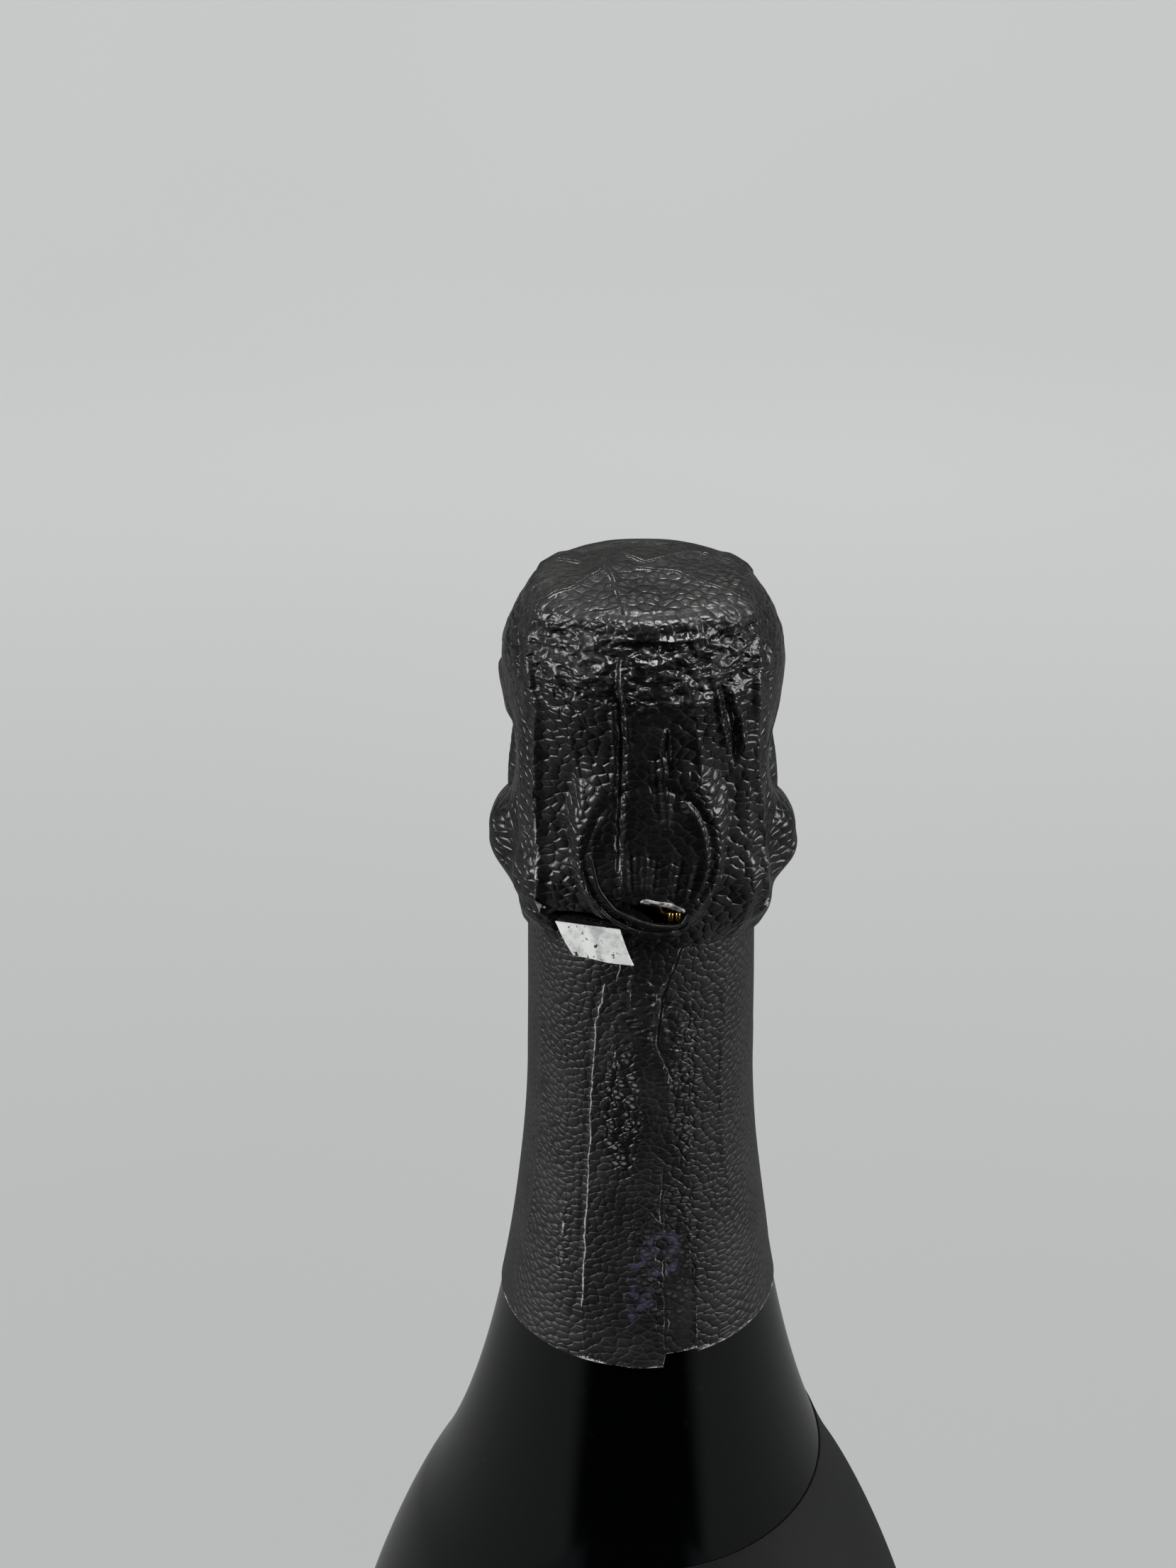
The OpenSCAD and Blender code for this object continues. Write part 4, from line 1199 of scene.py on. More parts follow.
@dataclass(frozen=True)
class FoilFinish(Finish):
    """Dark embossed foil, rubbed pale on its crests, with painted shade in its creases."""

    base: Colour = (0.0065, 0.0065, 0.0064)
    lit: Colour = (0.023, 0.023, 0.022)
    rubbed: Colour = (0.50, 0.50, 0.48)
    stain: Colour = (0.060, 0.058, 0.100)
    dust: Colour = (0.034, 0.034, 0.031)
    # Painted shade: near black colour laid into the creases
    painted_crease_shade: Colour = (0.002, 0.002, 0.002)
    metallic: float = 0.15
    rough: float = 0.27
    cells: float = 0.66
    wide: float = 0.75
    loose: float = 0.75
    depth: float = 0.2
    fine: float = 0.06
    beads: float = 0.15
    creases: Tuple[Line, ...] = ()
    scratches: Tuple[Line, ...] = ()

    @staticmethod
    def nearest(g: Graph, fx: Effects, uv: Socket, lines: Sequence[Line]) -> Value:
        """Distance in mm from the nearest of some lines, with a slight wobble.

        Args:
            g: graph of the material.
            fx: the shared effects.
            uv: coordinates on the sheet.
            lines: lines of (u, v), in mm.

        Returns:
            The socket or value of the distance.
        """
        found: Value = 9.0
        if not lines:
            return found
        wobble = g.add("TexNoise", {"Vector": uv, "Scale": 0.5}).outputs["Color"]
        place = g.vector("MULTIPLY_ADD", wobble, (0.8, 0.8, 0.0), uv).outputs[0]
        for line in lines:
            ends = [(u + 0.4, v + 0.4, 0.0) for u, v in line]
            for a, b in zip(ends[:-1], ends[1:]):
                found = g.math("MINIMUM", found, g.effect(fx.crease, Vector=place, From=a, To=b)[0])
        return found

    def wear(self, g: Graph, fx: Effects, uv: Socket, distance: Value, crest: Socket) -> Socket:
        """Where the foil is rubbed pale: on folds, beside creases, in scratches, crumbs and beads.

        Args:
            g: graph of the material.
            fx: the shared effects.
            uv: coordinates on the sheet.
            distance: distance from the nearest crease.
            crest: tops of the grain.

        Returns:
            A mask.
        """
        rubbed, crumpled, polished = (g.attribute(n) for n in ("rubbed", "crumpled", "polished"))
        beside = g.times(g.ramp(distance, 0.6, 0.2), 0.56)
        worn = g.effect(fx.wear, Vector=uv, Mask=g.most(rubbed, beside), Fine=5.5)[0]
        scratch = g.ramp(self.nearest(g, fx, uv, self.scratches), 0.13, 0.05)
        scratch = g.times(scratch, g.ramp(g.noise(uv, 0.8, 4.0, 0.7), 0.36, 0.52, 0.1, 0.8))
        crumbs = g.times(g.ramp(g.noise(uv, 3.4, 2.0), 0.70, 0.76), g.plus(crumpled, 0.6, 0.3))
        beads = g.times(g.ramp(crest, 0.82, 0.95), g.ramp(g.noise(uv, 0.5, 1.0), 0.44, 0.56))
        beads = g.times(beads, g.times(g.ramp(polished, 0.3, 0.8), self.beads))
        return g.most(worn, scratch, crumbs, beads)

    def tone(self, g: Graph, uv: Socket, haze: Sockets, worn: Socket, line: Socket) -> Socket:
        """Colour of the foil under haze, dust, stains and wear, with painted shade darkening the creases.

        Args:
            g: graph of the material.
            uv: coordinates on the sheet.
            haze: outputs of the haze effect.
            worn: mask of the wear.
            line: mask of the creases, where shade is painted in.

        Returns:
            The colour.
        """
        dusty, stained = (g.attribute(n) for n in ("dusty", "stained"))
        colour = g.mix(g.plus(haze["Cloud"], 0.55, g.times(haze["Speck"], 0.4)), self.base, self.lit)
        settled = g.times(dusty, g.ramp(g.noise(uv, 0.7, 5.0, 0.7), 0.3, 0.7, 0.35, 1.0))
        colour = g.mix(settled, colour, self.dust)
        blot = g.plus(g.noise(uv, 0.55, 4.0, 0.7), 2.2, g.math("SUBTRACT", stained, 2.0))
        colour = g.mix(g.times(g.ramp(blot, 0.0, 0.3), 0.8), colour, self.stain)
        # Painted shade: the creases are darkened to near black
        return g.mix(line, g.mix(worn, colour, self.rubbed), self.painted_crease_shade)

    def relief(self, g: Graph, uv: Socket, grain: Socket, line: Socket) -> Socket:
        """Height of the grain, the crumpled worms and the creases, in mm.

        Args:
            g: graph of the material.
            uv: coordinates on the sheet.
            grain: height of the grain, from 0 to 1.
            line: mask of the creases.

        Returns:
            The height.
        """
        flat, polished, crumpled = (g.attribute(n) for n in ("flattened", "polished", "crumpled"))
        calm = g.most(flat, g.times(crumpled, 0.9))
        rise = g.plus(polished, self.depth * 0.7, g.plus(calm, -self.depth, self.depth))
        cells = g.times(grain, g.most(rise, 0.01))
        worm = g.math("SUBTRACT", g.noise(g.stretch(uv, (0.46, 0.95, 1.0)), 0.95, 1.3, 0.4), 0.5)
        puff = g.plus(g.times(worm, worm), -24.0, 1.0, clamp=True)
        fine = g.times(g.noise(uv, 1.1, 4.0, 0.6), self.fine)
        height = g.math("ADD", g.math("ADD", fine, cells), g.times(puff, g.times(crumpled, 0.42)))
        return g.plus(line, -0.15, height)

    def paint(self, g: Graph, fx: Effects) -> Inputs:
        """As in Finish: grain, creases with painted shade, wear, dust and stain."""
        uv = g.sheet()
        flat, polished = (g.attribute(n) for n in ("flattened", "polished"))
        grain = g.effect(fx.pebble, Vector=g.stretch(uv, (self.wide, 1.0, 1.0)), Cells=self.cells,
                         Loose=self.loose)
        haze = g.effect(fx.haze, Vector=uv, Size=0.12)
        distance = self.nearest(g, fx, uv, self.creases)
        # Mask of the creases: it sinks and roughens them, and paints shade into them
        line = g.ramp(distance, 0.3, 0.12)
        worn = self.wear(g, fx, uv, distance, grain["Crest"])
        rough = g.plus(haze["Cloud"], 0.08, self.rough)
        for mask, more in ((flat, 0.1), (polished, -0.15 * self.rough / 0.3), (line, 0.6),
                           (grain["Valley"], 0.12), (worn, 0.18)):
            rough = g.plus(mask, more, rough)
        return {"Base Color": self.tone(g, uv, haze, worn, line), "Roughness": rough,
                "Metallic": self.metallic, "Specular IOR Level": 0.55,
                "Normal": g.bump(self.relief(g, uv, grain["Height"], line), 1.0)}


@dataclass(frozen=True)
class WireFinish(Finish):
    """Lacquered golden wire, drawn along its length and dulled in places."""

    base: Colour = (0.62, 0.40, 0.11)
    dull: Colour = (0.30, 0.19, 0.07)

    def paint(self, g: Graph, fx: Effects) -> Inputs:
        """As in Finish."""
        place = g.place()
        cloud = g.effect(fx.haze, Vector=place, Size=320.0)["Cloud"]
        scratch = g.noise(g.stretch(place, (9000.0, 9000.0, 700.0)), 1.0, 2.0)
        return {"Base Color": g.mix(cloud, self.base, self.dull), "Metallic": 1.0,
                "Roughness": g.plus(cloud, 0.2, 0.22), "Normal": g.bump(scratch, 0.01)}


@dataclass(frozen=True)
class GlassFinish(Finish):
    """Near black bottle glass with slight waviness and a film of dust."""

    tint: Colour = (0.0012, 0.0016, 0.0018)
    dust: Colour = (0.05, 0.05, 0.05)

    def paint(self, g: Graph, fx: Effects) -> Inputs:
        """As in Finish."""
        place = g.place()
        haze = g.effect(fx.haze, Vector=place, Size=26.0)
        wave = g.noise(g.stretch(place, (60.0, 60.0, 22.0)), 1.0, 1.5)
        return {"Base Color": g.mix(g.times(haze["Speck"], 0.1), self.tint, self.dust),
                "Transmission Weight": 0.5, "IOR": 1.52,
                "Roughness": g.plus(haze["Cloud"], 0.05, 0.05), "Normal": g.bump(wave, 0.12)}


@dataclass(frozen=True)
class WineFinish(Finish):
    """Clear pale gold wine."""

    tint: Colour = (0.93, 0.78, 0.42)
    deep: Colour = (0.90, 0.74, 0.38)

    def paint(self, g: Graph, fx: Effects) -> Inputs:
        """As in Finish."""
        return {"Base Color": g.mix(g.noise(g.place(), 35.0, 1.0), self.tint, self.deep),
                "Transmission Weight": 1.0, "IOR": 1.34, "Roughness": 0.02}


class CorkCut(Enum):
    """How a piece of cork is made."""

    GRANULES = "granules"
    SLICE = "slice"


@dataclass(frozen=True)
class CorkFinish(Finish):
    """Cork: pressed granules, or a natural slice with its dark pores."""

    cut: CorkCut
    pale: Colour = (0.62, 0.42, 0.23)
    deep: Colour = (0.36, 0.20, 0.09)
    glue: Colour = (0.22, 0.12, 0.06)
    pore: Colour = (0.11, 0.055, 0.03)

    def paint(self, g: Graph, fx: Effects) -> Inputs:
        """As in Finish."""
        place = g.place()
        if self.cut is CorkCut.GRANULES:
            cell, gap = (g.add("TexVoronoi", {"Vector": place, "Scale": 420.0}, feature=feature).outputs
                         for feature in ("F1", "DISTANCE_TO_EDGE"))
            tone = g.add("SeparateColor", {0: cell["Color"]}).outputs[0]
            body = g.ramp(gap["Distance"], 0.0, 0.09)
            pores = g.ramp(g.noise(place, 1500.0, 3.0), 0.62, 0.72)
            colour = g.mix(g.math("SUBTRACT", 1.0, body), g.mix(tone, self.pale, self.deep), self.glue)
        else:
            body = g.noise(g.stretch(place, (110.0, 110.0, 420.0)), 1.0, 3.0)
            pores = g.ramp(g.noise(g.stretch(place, (900.0, 900.0, 260.0)), 1.0, 4.0, 0.65), 0.6, 0.68)
            colour = g.mix(body, self.pale, self.deep)
        return {"Base Color": g.mix(g.times(pores, 0.8), colour, self.pore), "Roughness": 0.85,
                "Normal": g.bump(g.math("SUBTRACT", body, pores), 0.12)}


@dataclass(frozen=True)
class SheetMetalFinish(Finish):
    """Lacquered sheet of the cap, with the marks of the wire."""

    base: Colour = (0.018, 0.018, 0.021)
    bare: Colour = (0.45, 0.45, 0.44)

    def paint(self, g: Graph, fx: Effects) -> Inputs:
        """As in Finish."""
        place = g.place()
        cloud = g.effect(fx.haze, Vector=place, Size=90.0)["Cloud"]
        wear = g.effect(fx.wear, Vector=place, Fine=900.0, Mask=g.times(cloud, 0.55))[0]
        return {"Base Color": g.mix(wear, self.base, self.bare), "Metallic": 0.4,
                "Roughness": g.plus(cloud, 0.15, 0.26), "Normal": g.bump(g.noise(place, 700.0, 3.0), 0.02)}


@dataclass(frozen=True)
class FilmFinish(Finish):
    """Pale plastic of the tear tape and tab, with scraps of dark lacquer left on it."""

    base: Colour = (0.86, 0.88, 0.85)
    grey: Colour = (0.50, 0.52, 0.50)
    scrap: Colour = (0.05, 0.05, 0.055)

    def paint(self, g: Graph, fx: Effects) -> Inputs:
        """As in Finish."""
        place = g.place()
        cloud = g.ramp(g.noise(place, 520.0, 5.0, 0.7), 0.44, 0.66)
        scraps = g.ramp(g.noise(place, 800.0, 3.0, 0.6), 0.63, 0.67)
        return {"Base Color": g.mix(scraps, g.mix(cloud, self.base, self.grey), self.scrap),
                "Roughness": 0.42, "Normal": g.bump(g.noise(place, 500.0, 4.0), 0.08)}


@dataclass(frozen=True)
class PaperFinish(Finish):
    """Matte charcoal label paper with a fine tooth."""

    base: Colour = (0.0055, 0.0058, 0.0064)
    pale: Colour = (0.009, 0.009, 0.0096)
    cut_edge: Colour = (0.006, 0.006, 0.007)

    def paint(self, g: Graph, fx: Effects) -> Inputs:
        """As in Finish."""
        place = g.place()
        cloud = g.effect(fx.haze, Vector=place, Size=40.0)["Cloud"]
        fibres = g.noise(g.stretch(place, (1.0, 1.0, 2.6)), 1400.0, 3.0, 0.6)
        colour = g.mix(g.plus(fibres, 0.5, g.times(cloud, 0.4)), self.base, self.pale)
        return {"Base Color": g.mix(g.attribute("edge"), colour, self.cut_edge), "Roughness": 0.72,
                "Specular IOR Level": 0.25, "Normal": g.bump(fibres, 0.02)}


def on_sheet(*tables: Sequence[Line]) -> Tuple[Line, ...]:
    """Lines of (angle, drop) in mm along the foil."""
    k = math.radians(1) * ARM
    return tuple(tuple((az * k, drop) for az, drop in line) for lines in tables for line in lines)


class Palette:
    """Every finish of the bottle, made once."""

    def __init__(self) -> None:
        """Builds the materials."""
        fx = Effects()
        creases = tuple(tuple((x + TOP_AXIS, (y + TOP_AXIS) * TOP_SQUEEZE) for x, y in line)
                        for line in TOP_CREASES)
        self.hood = FoilFinish("hood_foil", cells=0.96, wide=0.74, loose=0.85, depth=0.175, rough=0.2,
                               creases=creases + on_sheet(HOOD_CREASES)).make(fx)
        self.neck = FoilFinish("neck_foil", (0.012, 0.012, 0.012), (0.028, 0.028, 0.027), cells=1.1,
                               wide=0.74, loose=0.85, depth=0.16, rough=0.38, fine=0.04, beads=0.45,
                               creases=on_sheet(NECK_CREASES), scratches=on_sheet(NECK_LINES)).make(fx)
        self.wire = WireFinish("golden_wire").make(fx)
        self.glass = GlassFinish("bottle_glass").make(fx)
        self.wine = WineFinish("wine").make(fx)
        self.granules = CorkFinish("pressed_cork", CorkCut.GRANULES).make(fx)
        self.slice = CorkFinish("natural_cork", CorkCut.SLICE).make(fx)
        self.cap = SheetMetalFinish("cap_lacquer").make(fx)
        self.film = FilmFinish("tear_film").make(fx)
        # Dark film for the hidden tear tape: partly the tape's dark back, partly painted shade for the slit
        # under the hood
        self.tape = FilmFinish("dark_tape_and_painted_shade", (0.02, 0.02, 0.022), (0.012, 0.012, 0.013)).make(fx)
        self.label = PaperFinish("label_paper").make(fx)


def dress(obj: Piece, material: Material) -> None:
    """Gives a piece one material."""
    obj.data.materials.clear()
    obj.data.materials.append(material)


def publish(obj: Piece, body: Body, slot: str, material: Material, *nodes: str) -> None:
    """Dresses a finished piece and hands it to the frame.

    Args:
        obj: the piece.
        body: the body that it moves with.
        slot: material slot of the record; not used.
        material: its finish.
        nodes: CAD nodes that it stands for.
    """
    dress(obj, material)
    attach(obj, body.value)
    if nodes:
        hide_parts(*nodes)
    log.info("%s: %d faces, moves with %s", obj.name, len(obj.data.polygons), body.value)


# Sub-assemblies


class Assembly:
    """Pieces that are made and dressed together."""

    def build(self, palette: Palette, frame: dict) -> None:
        """Makes new pieces and dresses those of the frame.

        Args:
            palette: finishes.
            frame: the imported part.
        """
        raise NotImplementedError


@dataclass
class Vessel(Assembly):
    """The glass bottle and the wine in it."""

    form: GlassForm
    columns: int = 160
    longest: float = 4.0

    def build(self, palette: Palette, frame: dict) -> None:
        """As in Assembly: makes the glass and dresses the wine."""
        f = self.form
        outside = np.concatenate([f.punt(), f.side(), f.mouth()])
        outline = np.concatenate([spaced(line, self.longest) for line in (outside, f.hollow()[::-1])])
        outline[0, 0] = outline[-1, 0] = 0.0
        glass = revolved("glass", outline, self.columns)
        publish(glass, Body.BOTTLE, "glass", palette.glass, "glass_bottle")
        dress(frame["nodes"]["wine"], palette.wine)


@dataclass
class Stopper(Assembly):
    """The cork: its pressed body and two natural discs."""

    discs: Tuple[str, ...] = ("cork_disc_upper", "cork_disc_lower")

    def build(self, palette: Palette, frame: dict) -> None:
        """As in Assembly: dresses the three solids."""
        dress(frame["nodes"]["cork_body"], palette.granules)
        for disc in self.discs:
            dress(frame["nodes"][disc], palette.slice)


@dataclass
class Cage(Assembly):
    """Cap, cage wire, belt wire and loop, with the wires made round."""

    wires: Tuple[Tuple[str, str, Body], ...] = (
        ("cage_wire", "twisted_wire", Body.CAGE),
        ("belt_wire", "belt", Body.CAGE),
        ("wire_loop", "loop_wire", Body.LOOP),
    )
    merged: float = 2e-6
    fatter: float = 0.03

    def round_wire(self, node: Piece, name: str) -> Piece:
        """A round, smooth copy of a six-sided wire.

        Args:
            node: the CAD node.
            name: name of the piece.

        Returns:
            The new piece.
        """
        wire = placed(name, node.data.copy())
        with editing(wire):
            bpy.ops.mesh.remove_doubles(threshold=self.merged)
            bpy.ops.mesh.tris_convert_to_quads()
            bpy.ops.transform.shrink_fatten(value=self.fatter * MM)
        m = wire.modifiers.new("round", "SUBSURF")
        m.levels = m.render_levels = 1
        apply_modifiers(wire)
        smooth(wire, 80)
        return wire

    def build(self, palette: Palette, frame: dict) -> None:
        """As in Assembly: dresses the cap and makes the wires."""
        dress(frame["nodes"]["cap_plaque"], palette.cap)
        for node, name, body in self.wires:
            publish(self.round_wire(frame["nodes"][node], name), body, "gold_wire", palette.wire, node)


@dataclass
class FoilCapsule(Assembly):
    """Hood, loop foil and tear strip, shaped as one drape and then parted.

    The gap is the opening under the loop, as drops of its upper and lower edge at some angles. The
    hood's edge lifts over the tab at the lift angles, and the strip's lower rim is given the same
    way. Waves and crumples are heights in mm with their wavelengths and seeds.
    """

    form: FoilForm
    columns: int = 336
    side_rows: int = 118
    top_rows: int = 26
    strip_rows: int = 18
    seam: float = 183.0
    foot_drop: float = 39.3
    snap_reach: float = 0.19
    lip_step: float = 0.6
    lip_seat: float = 0.12
    top_dome: float = 0.75
    waves: Tuple[Tuple[float, Sequence[float], float], ...] = (
        (0.20, (7, 7, 6), 3.1), (0.09, (2.6, 2.6, 2.2), 7.7))
    crumples: Tuple[Tuple[float, Sequence[float], float], ...] = (
        (0.42, (4.6, 4.6, 1.9), 11.3), (0.2, (2.6, 2.6, 1.6), 17.9))
    gap_angles: Tuple[float, ...] = (-13.0, -10.5, -4.5, -1.2, 5.4, 8.6, 13.9, 17.2)
    gap_upper: Tuple[float, ...] = (33.6, 34.0, 34.75, 34.8, 35.0, 35.25, 36.0, 36.5)
    gap_lower: Tuple[float, ...] = (33.6, 34.2, 35.3, 35.9, 37.5, 37.8, 37.9, 36.5)
    lift_angles: Tuple[float, ...] = (-40.5, -38.4, -21.7, -7.9, -5.6, -4.0)
    lift_drops: Tuple[float, ...] = (38.7, 37.6, 36.9, 37.3)
    rim_angles: Tuple[float, ...] = (-180, -64, -38, 0, 30, 62, 180)
    rim_drops: Tuple[float, ...] = (44.3, 44.5, 43.6, 42.6, 42.9, 44.4, 44.3)
    dent_angle: float = -21.5
    dent_half: float = 19.5
    dent_foot: float = 43.0
    dent_depth: float = 0.85

    def around(self, u: Array) -> Array:
        """Angle for a share of the grid, closer together towards the front."""
        s = u * 2 - 1
        return self.seam - 180 + 180 * (0.72 * s + 0.28 * s * np.abs(s))

    def gap(self, az: Array) -> Tuple[Array, Array, Array]:
        """Upper and lower edge of the gap at an angle, and whether it reaches there.

        Args:
            az: angles.

        Returns:
            Drops of the upper and of the lower edge, and a mask.
        """
        a = turned(az)
        upper, lower = (np.interp(a, self.gap_angles, line) for line in (self.gap_upper, self.gap_lower))
        return upper, lower, (a > self.gap_angles[0]) & (a < self.gap_angles[-1])

    def radius(self, az: Array, drop: Array) -> Array:
        """Outside radius with folds, creases and crumples.

        Args:
            az: angles.
            drop: drops from the top.

        Returns:
            The radius at each place.
        """
        r = self.form.radius(az, drop)
        for fold in HOOD_FOLDS:
            r = r + fold.lift * fold.over(az, drop)
        place = around_axis(az, drop)
        for height, wave, seed in self.waves:
            r = r + height * ripple(place, wave, seed)
        r = r + self.crumple(az, drop) * sum(
            height * (0.55 - np.abs(ripple(place, wave, seed)) * 2.6) for height, wave, seed in self.crumples)
        upper, _, spread = self.gap(az)
        lip = hump((upper - drop) / 0.6) * ease((17.2 - np.abs(turned(az) - 2)) / 6)
        r = r + np.where(spread & (drop <= upper + 1e-6), 0.3 * lip, 0)
        edge = np.hypot(*self.form.in_window(az, drop))
        return r - 0.30 * hump((edge - 1.03) / 0.06) * ease((self.form.window_drop + 6.5 - drop) / 2)

    @staticmethod
    def crumple(az: Array, drop: Array) -> Array:
        """How strongly the foil is crumpled under the edge of its top."""
        band = (0.32 + 0.25 * ease(drop / 0.8) + 0.43 * ease((drop - 1.7) / 0.9)) * ease((13.0 - drop) / 6.0)
        return band * (0.35 + 0.65 * ease((80 - np.abs(turned(az - 2))) / 45))

    def foot(self, az: Array) -> Array:
        """Drop of the hood's torn edge, which lifts over the tab."""
        return np.interp(turned(az), self.lift_angles, (self.foot_drop, *self.lift_drops, self.foot_drop))

    def snapped(self, az: Array, drop: Array) -> Tuple[Array, Array]:
        """Moves the grid points nearest the oval and the gap onto their outlines.

        Args:
            az: angle of each point.
            drop: drop of each point.

        Returns:
            The moved angles and drops.
        """
        f = self.form
        u, v = f.in_window(az, drop)
        rho = np.hypot(u, v)
        hit = (np.abs(rho - 1) * 8.2 < self.snap_reach) & (drop < 36.2)
        out = np.maximum(rho, 1e-6)
        az = np.where(hit, f.loop_angle + f.window_angle * u / out, az)
        drop = np.where(hit, f.window_drop + v / out * f.window_h / 2, drop)
        upper, lower, spread = self.gap(az)
        for edge in (upper, lower):
            drop = np.where((np.abs(drop - edge) < self.snap_reach) & spread & ~hit, edge, drop)
        return az, drop

    def part_of(self, az: Array, drop: Array) -> Array:
        """Which piece each place belongs to: 0 hood, 1 loop foil, 2 the gap between them.

        Args:
            az: angles.
            drop: drops from the top.

        Returns:
            The part's number at each place.
        """
        upper, lower, spread = self.gap(az)
        inside = (np.hypot(*self.form.in_window(az, drop)) < 1) & ~(spread & (drop >= upper))
        return np.where(spread & (drop > upper) & (drop < lower), 2, np.where(inside, 1, 0))

    def drape(self) -> Piece:
        """The whole sheet from the hood's torn edge up to the middle of its top.

        Returns:
            The new piece, without a wall.
        """
        rows = self.side_rows + self.top_rows
        obj, u, v = grid_piece("hood", self.columns, rows)
        az = self.around(u)
        k = np.rint(v * rows)
        top = k >= self.side_rows
        az, drop = self.snapped(az, self.foot(az) * (1 - np.clip(k / self.side_rows, 0, 1)) ** 1.3)
        share = np.clip(1 - (k - self.side_rows) / self.top_rows, 0, 1)
        r = self.radius(az, drop) * share
        x, y = r * np.sin(np.radians(az)), -r * np.cos(np.radians(az))
        swell = self.top_dome * (1 - share**2) + 0.16 * (1 - share**26)
        for fold in TOP_FOLDS:
            swell = swell + fold.lift * fold.over(x, y, math.degrees(1)) * ease((1 - share) * 9)
        swell = swell + 0.16 * ripple(np.stack([x, y, 0 * az], 1), (5, 5, 5), 5.5) * ease((1 - share) * 4)
        flat = np.stack([x + TOP_AXIS, (y + TOP_AXIS) * TOP_SQUEEZE], 1)
        set_uv(obj, unrolled(az, drop), flat, top)
        calm = 0.25 + 0.45 * ease((y + 3) / 6) + 0.3 * ease((-1 - x) / 5)
        pressed = np.where(top, np.minimum(calm, 0.95), 0.3 * ease((2.0 - drop) / 0.8))
        pressed = np.where(np.abs(k - self.side_rows) < 2, 0.7, pressed)
        store_marks(obj, az, drop, HOOD_FOLDS, HOOD_SPOTS, {
            "polished": np.where(top, 0.65 * (1 - 0.5 * pressed), 0.1),
            "flattened": pressed,
            "crumpled": np.where(top, 0.05 + 0.12 * ease(share * 2 - 1), self.crumple(az, drop)),
            "dusty": 0.4 * ease((2.6 - drop) / 1.6)})
        set_coords(obj, polar(r, az, self.form.top_z - drop + np.where(top, np.maximum(swell, 0), 0)))
        return obj

    def keep(self, obj: Piece, part: int) -> None:
        """Keeps only the faces of one part, then closes the seam and makes the wall.

        Args:
            obj: a drape.
            part: the part's number.
        """

        def other(mid: Array) -> Array:
            """Faces of the other parts."""
            a = np.degrees(np.arctan2(mid[:, 0], -mid[:, 1]))
            near = np.abs(turned(a - self.form.loop_angle)) < 40
            return np.where(near, self.part_of(a, self.form.top_z - mid[:, 2]), 0) != part

        drop_faces(obj, other)
        finish_sheet(obj, self.form.foil_t)

    def build(self, palette: Palette, frame: dict) -> None:
        """As in Assembly: makes the foil pieces."""
        hood = self.drape()
        patch = placed("loop_patch", hood.data.copy())
        self.keep(hood, 0)
        self.keep(patch, 1)
        publish(hood, Body.CAGE, "dark_foil", palette.hood, "foil_hood")
        publish(patch, Body.LOOP, "dark_foil", palette.hood, "loop_foil")
        for lip in LIPS:
            self.roll(palette, lip)
        self.strip(palette)

    def roll(self, palette: Palette, lip: Lip) -> None:
        """A rolled edge of foil, as a tapering tube that lies on the drape.

        Args:
            palette: finishes.
            lip: its line and size.
        """
        pts = spaced(np.array(lip.line, float), self.lip_step)
        for _ in range(6):
            pts[1:-1] = (pts[:-2] + 2 * pts[1:-1] + pts[2:]) / 4
        az, drop = pts.T
        place = polar(self.form.radius(az, drop) + self.lip_seat, az, self.form.top_z - drop) / MM
        steps = len(pts) - 1
        obj, u, v = grid_piece(lip.name, steps, 16)
        k = np.rint(u * steps).astype(int)
        run, out = np.gradient(place, axis=0), place * [1, 1, 0]
        run, out = (way / np.linalg.norm(way, axis=1)[:, None] for way in (run, out))
        side = np.cross(run, out)
        turn = v * 2 * math.pi
        uneven = 1 + 0.25 * ripple(np.stack([k * 0.3, np.cos(turn), np.sin(turn)], 1), (2, 2, 2), 6.1)
        r = lip.radius * np.sqrt(np.clip(1 - (2 * u - 1) ** 6, 0, 1)) * uneven
        set_uv(obj, np.stack([k * 0.3 + 200, turn * lip.radius], 1))
        for mark, value in zip(MARKS, (lip.worn, 0.3, 1.0, 0.0, 0.0, 0.0)):
            set_attribute(obj, mark, np.full(len(u), value))
        ring = (r * np.cos(turn))[:, None] * out[k] + (r * np.sin(turn))[:, None] * side[k]
        set_coords(obj, (place[k] + ring) * MM)
        close_up(obj)
        smooth(obj, 60)
        publish(obj, lip.body, "dark_foil", palette.hood)

    def strip(self, palette: Palette) -> None:
        """Tear strip under the hood, with its wavy lower rim, pressed back behind the tab.

        Args:
            palette: finishes.
        """
        obj, u, v = grid_piece("tear_band", self.columns, self.strip_rows)
        az = self.around(u)
        low = np.interp(turned(az), self.rim_angles, self.rim_drops)
        low = low + 0.18 * ripple(around_axis(az, 0), (3, 3, 3), 2.2)
        rest = self.foot_drop + 0.02
        high = np.interp(turned(az), [-40.5, -38.4, -7.9, -4.0], [rest, 39.9, 39.0, rest])
        drop = low + (high - low) * v
        behind = ease((self.dent_half - np.abs(turned(az - self.dent_angle))) / 3)
        behind = behind * ease((self.dent_foot - drop) / 2.5)
        r = self.radius(az, drop) + 0.12 * hump((v - 0.1) / 0.12) - self.dent_depth * behind
        set_uv(obj, unrolled(az, drop))
        store_marks(obj, az, drop, HOOD_FOLDS, HOOD_SPOTS, {"polished": 0.1})
        set_coords(obj, polar(r, az, self.form.top_z - drop))
        finish_sheet(obj, self.form.foil_t)
        publish(obj, Body.BOTTLE, "dark_foil", palette.hood, "tear_strip")


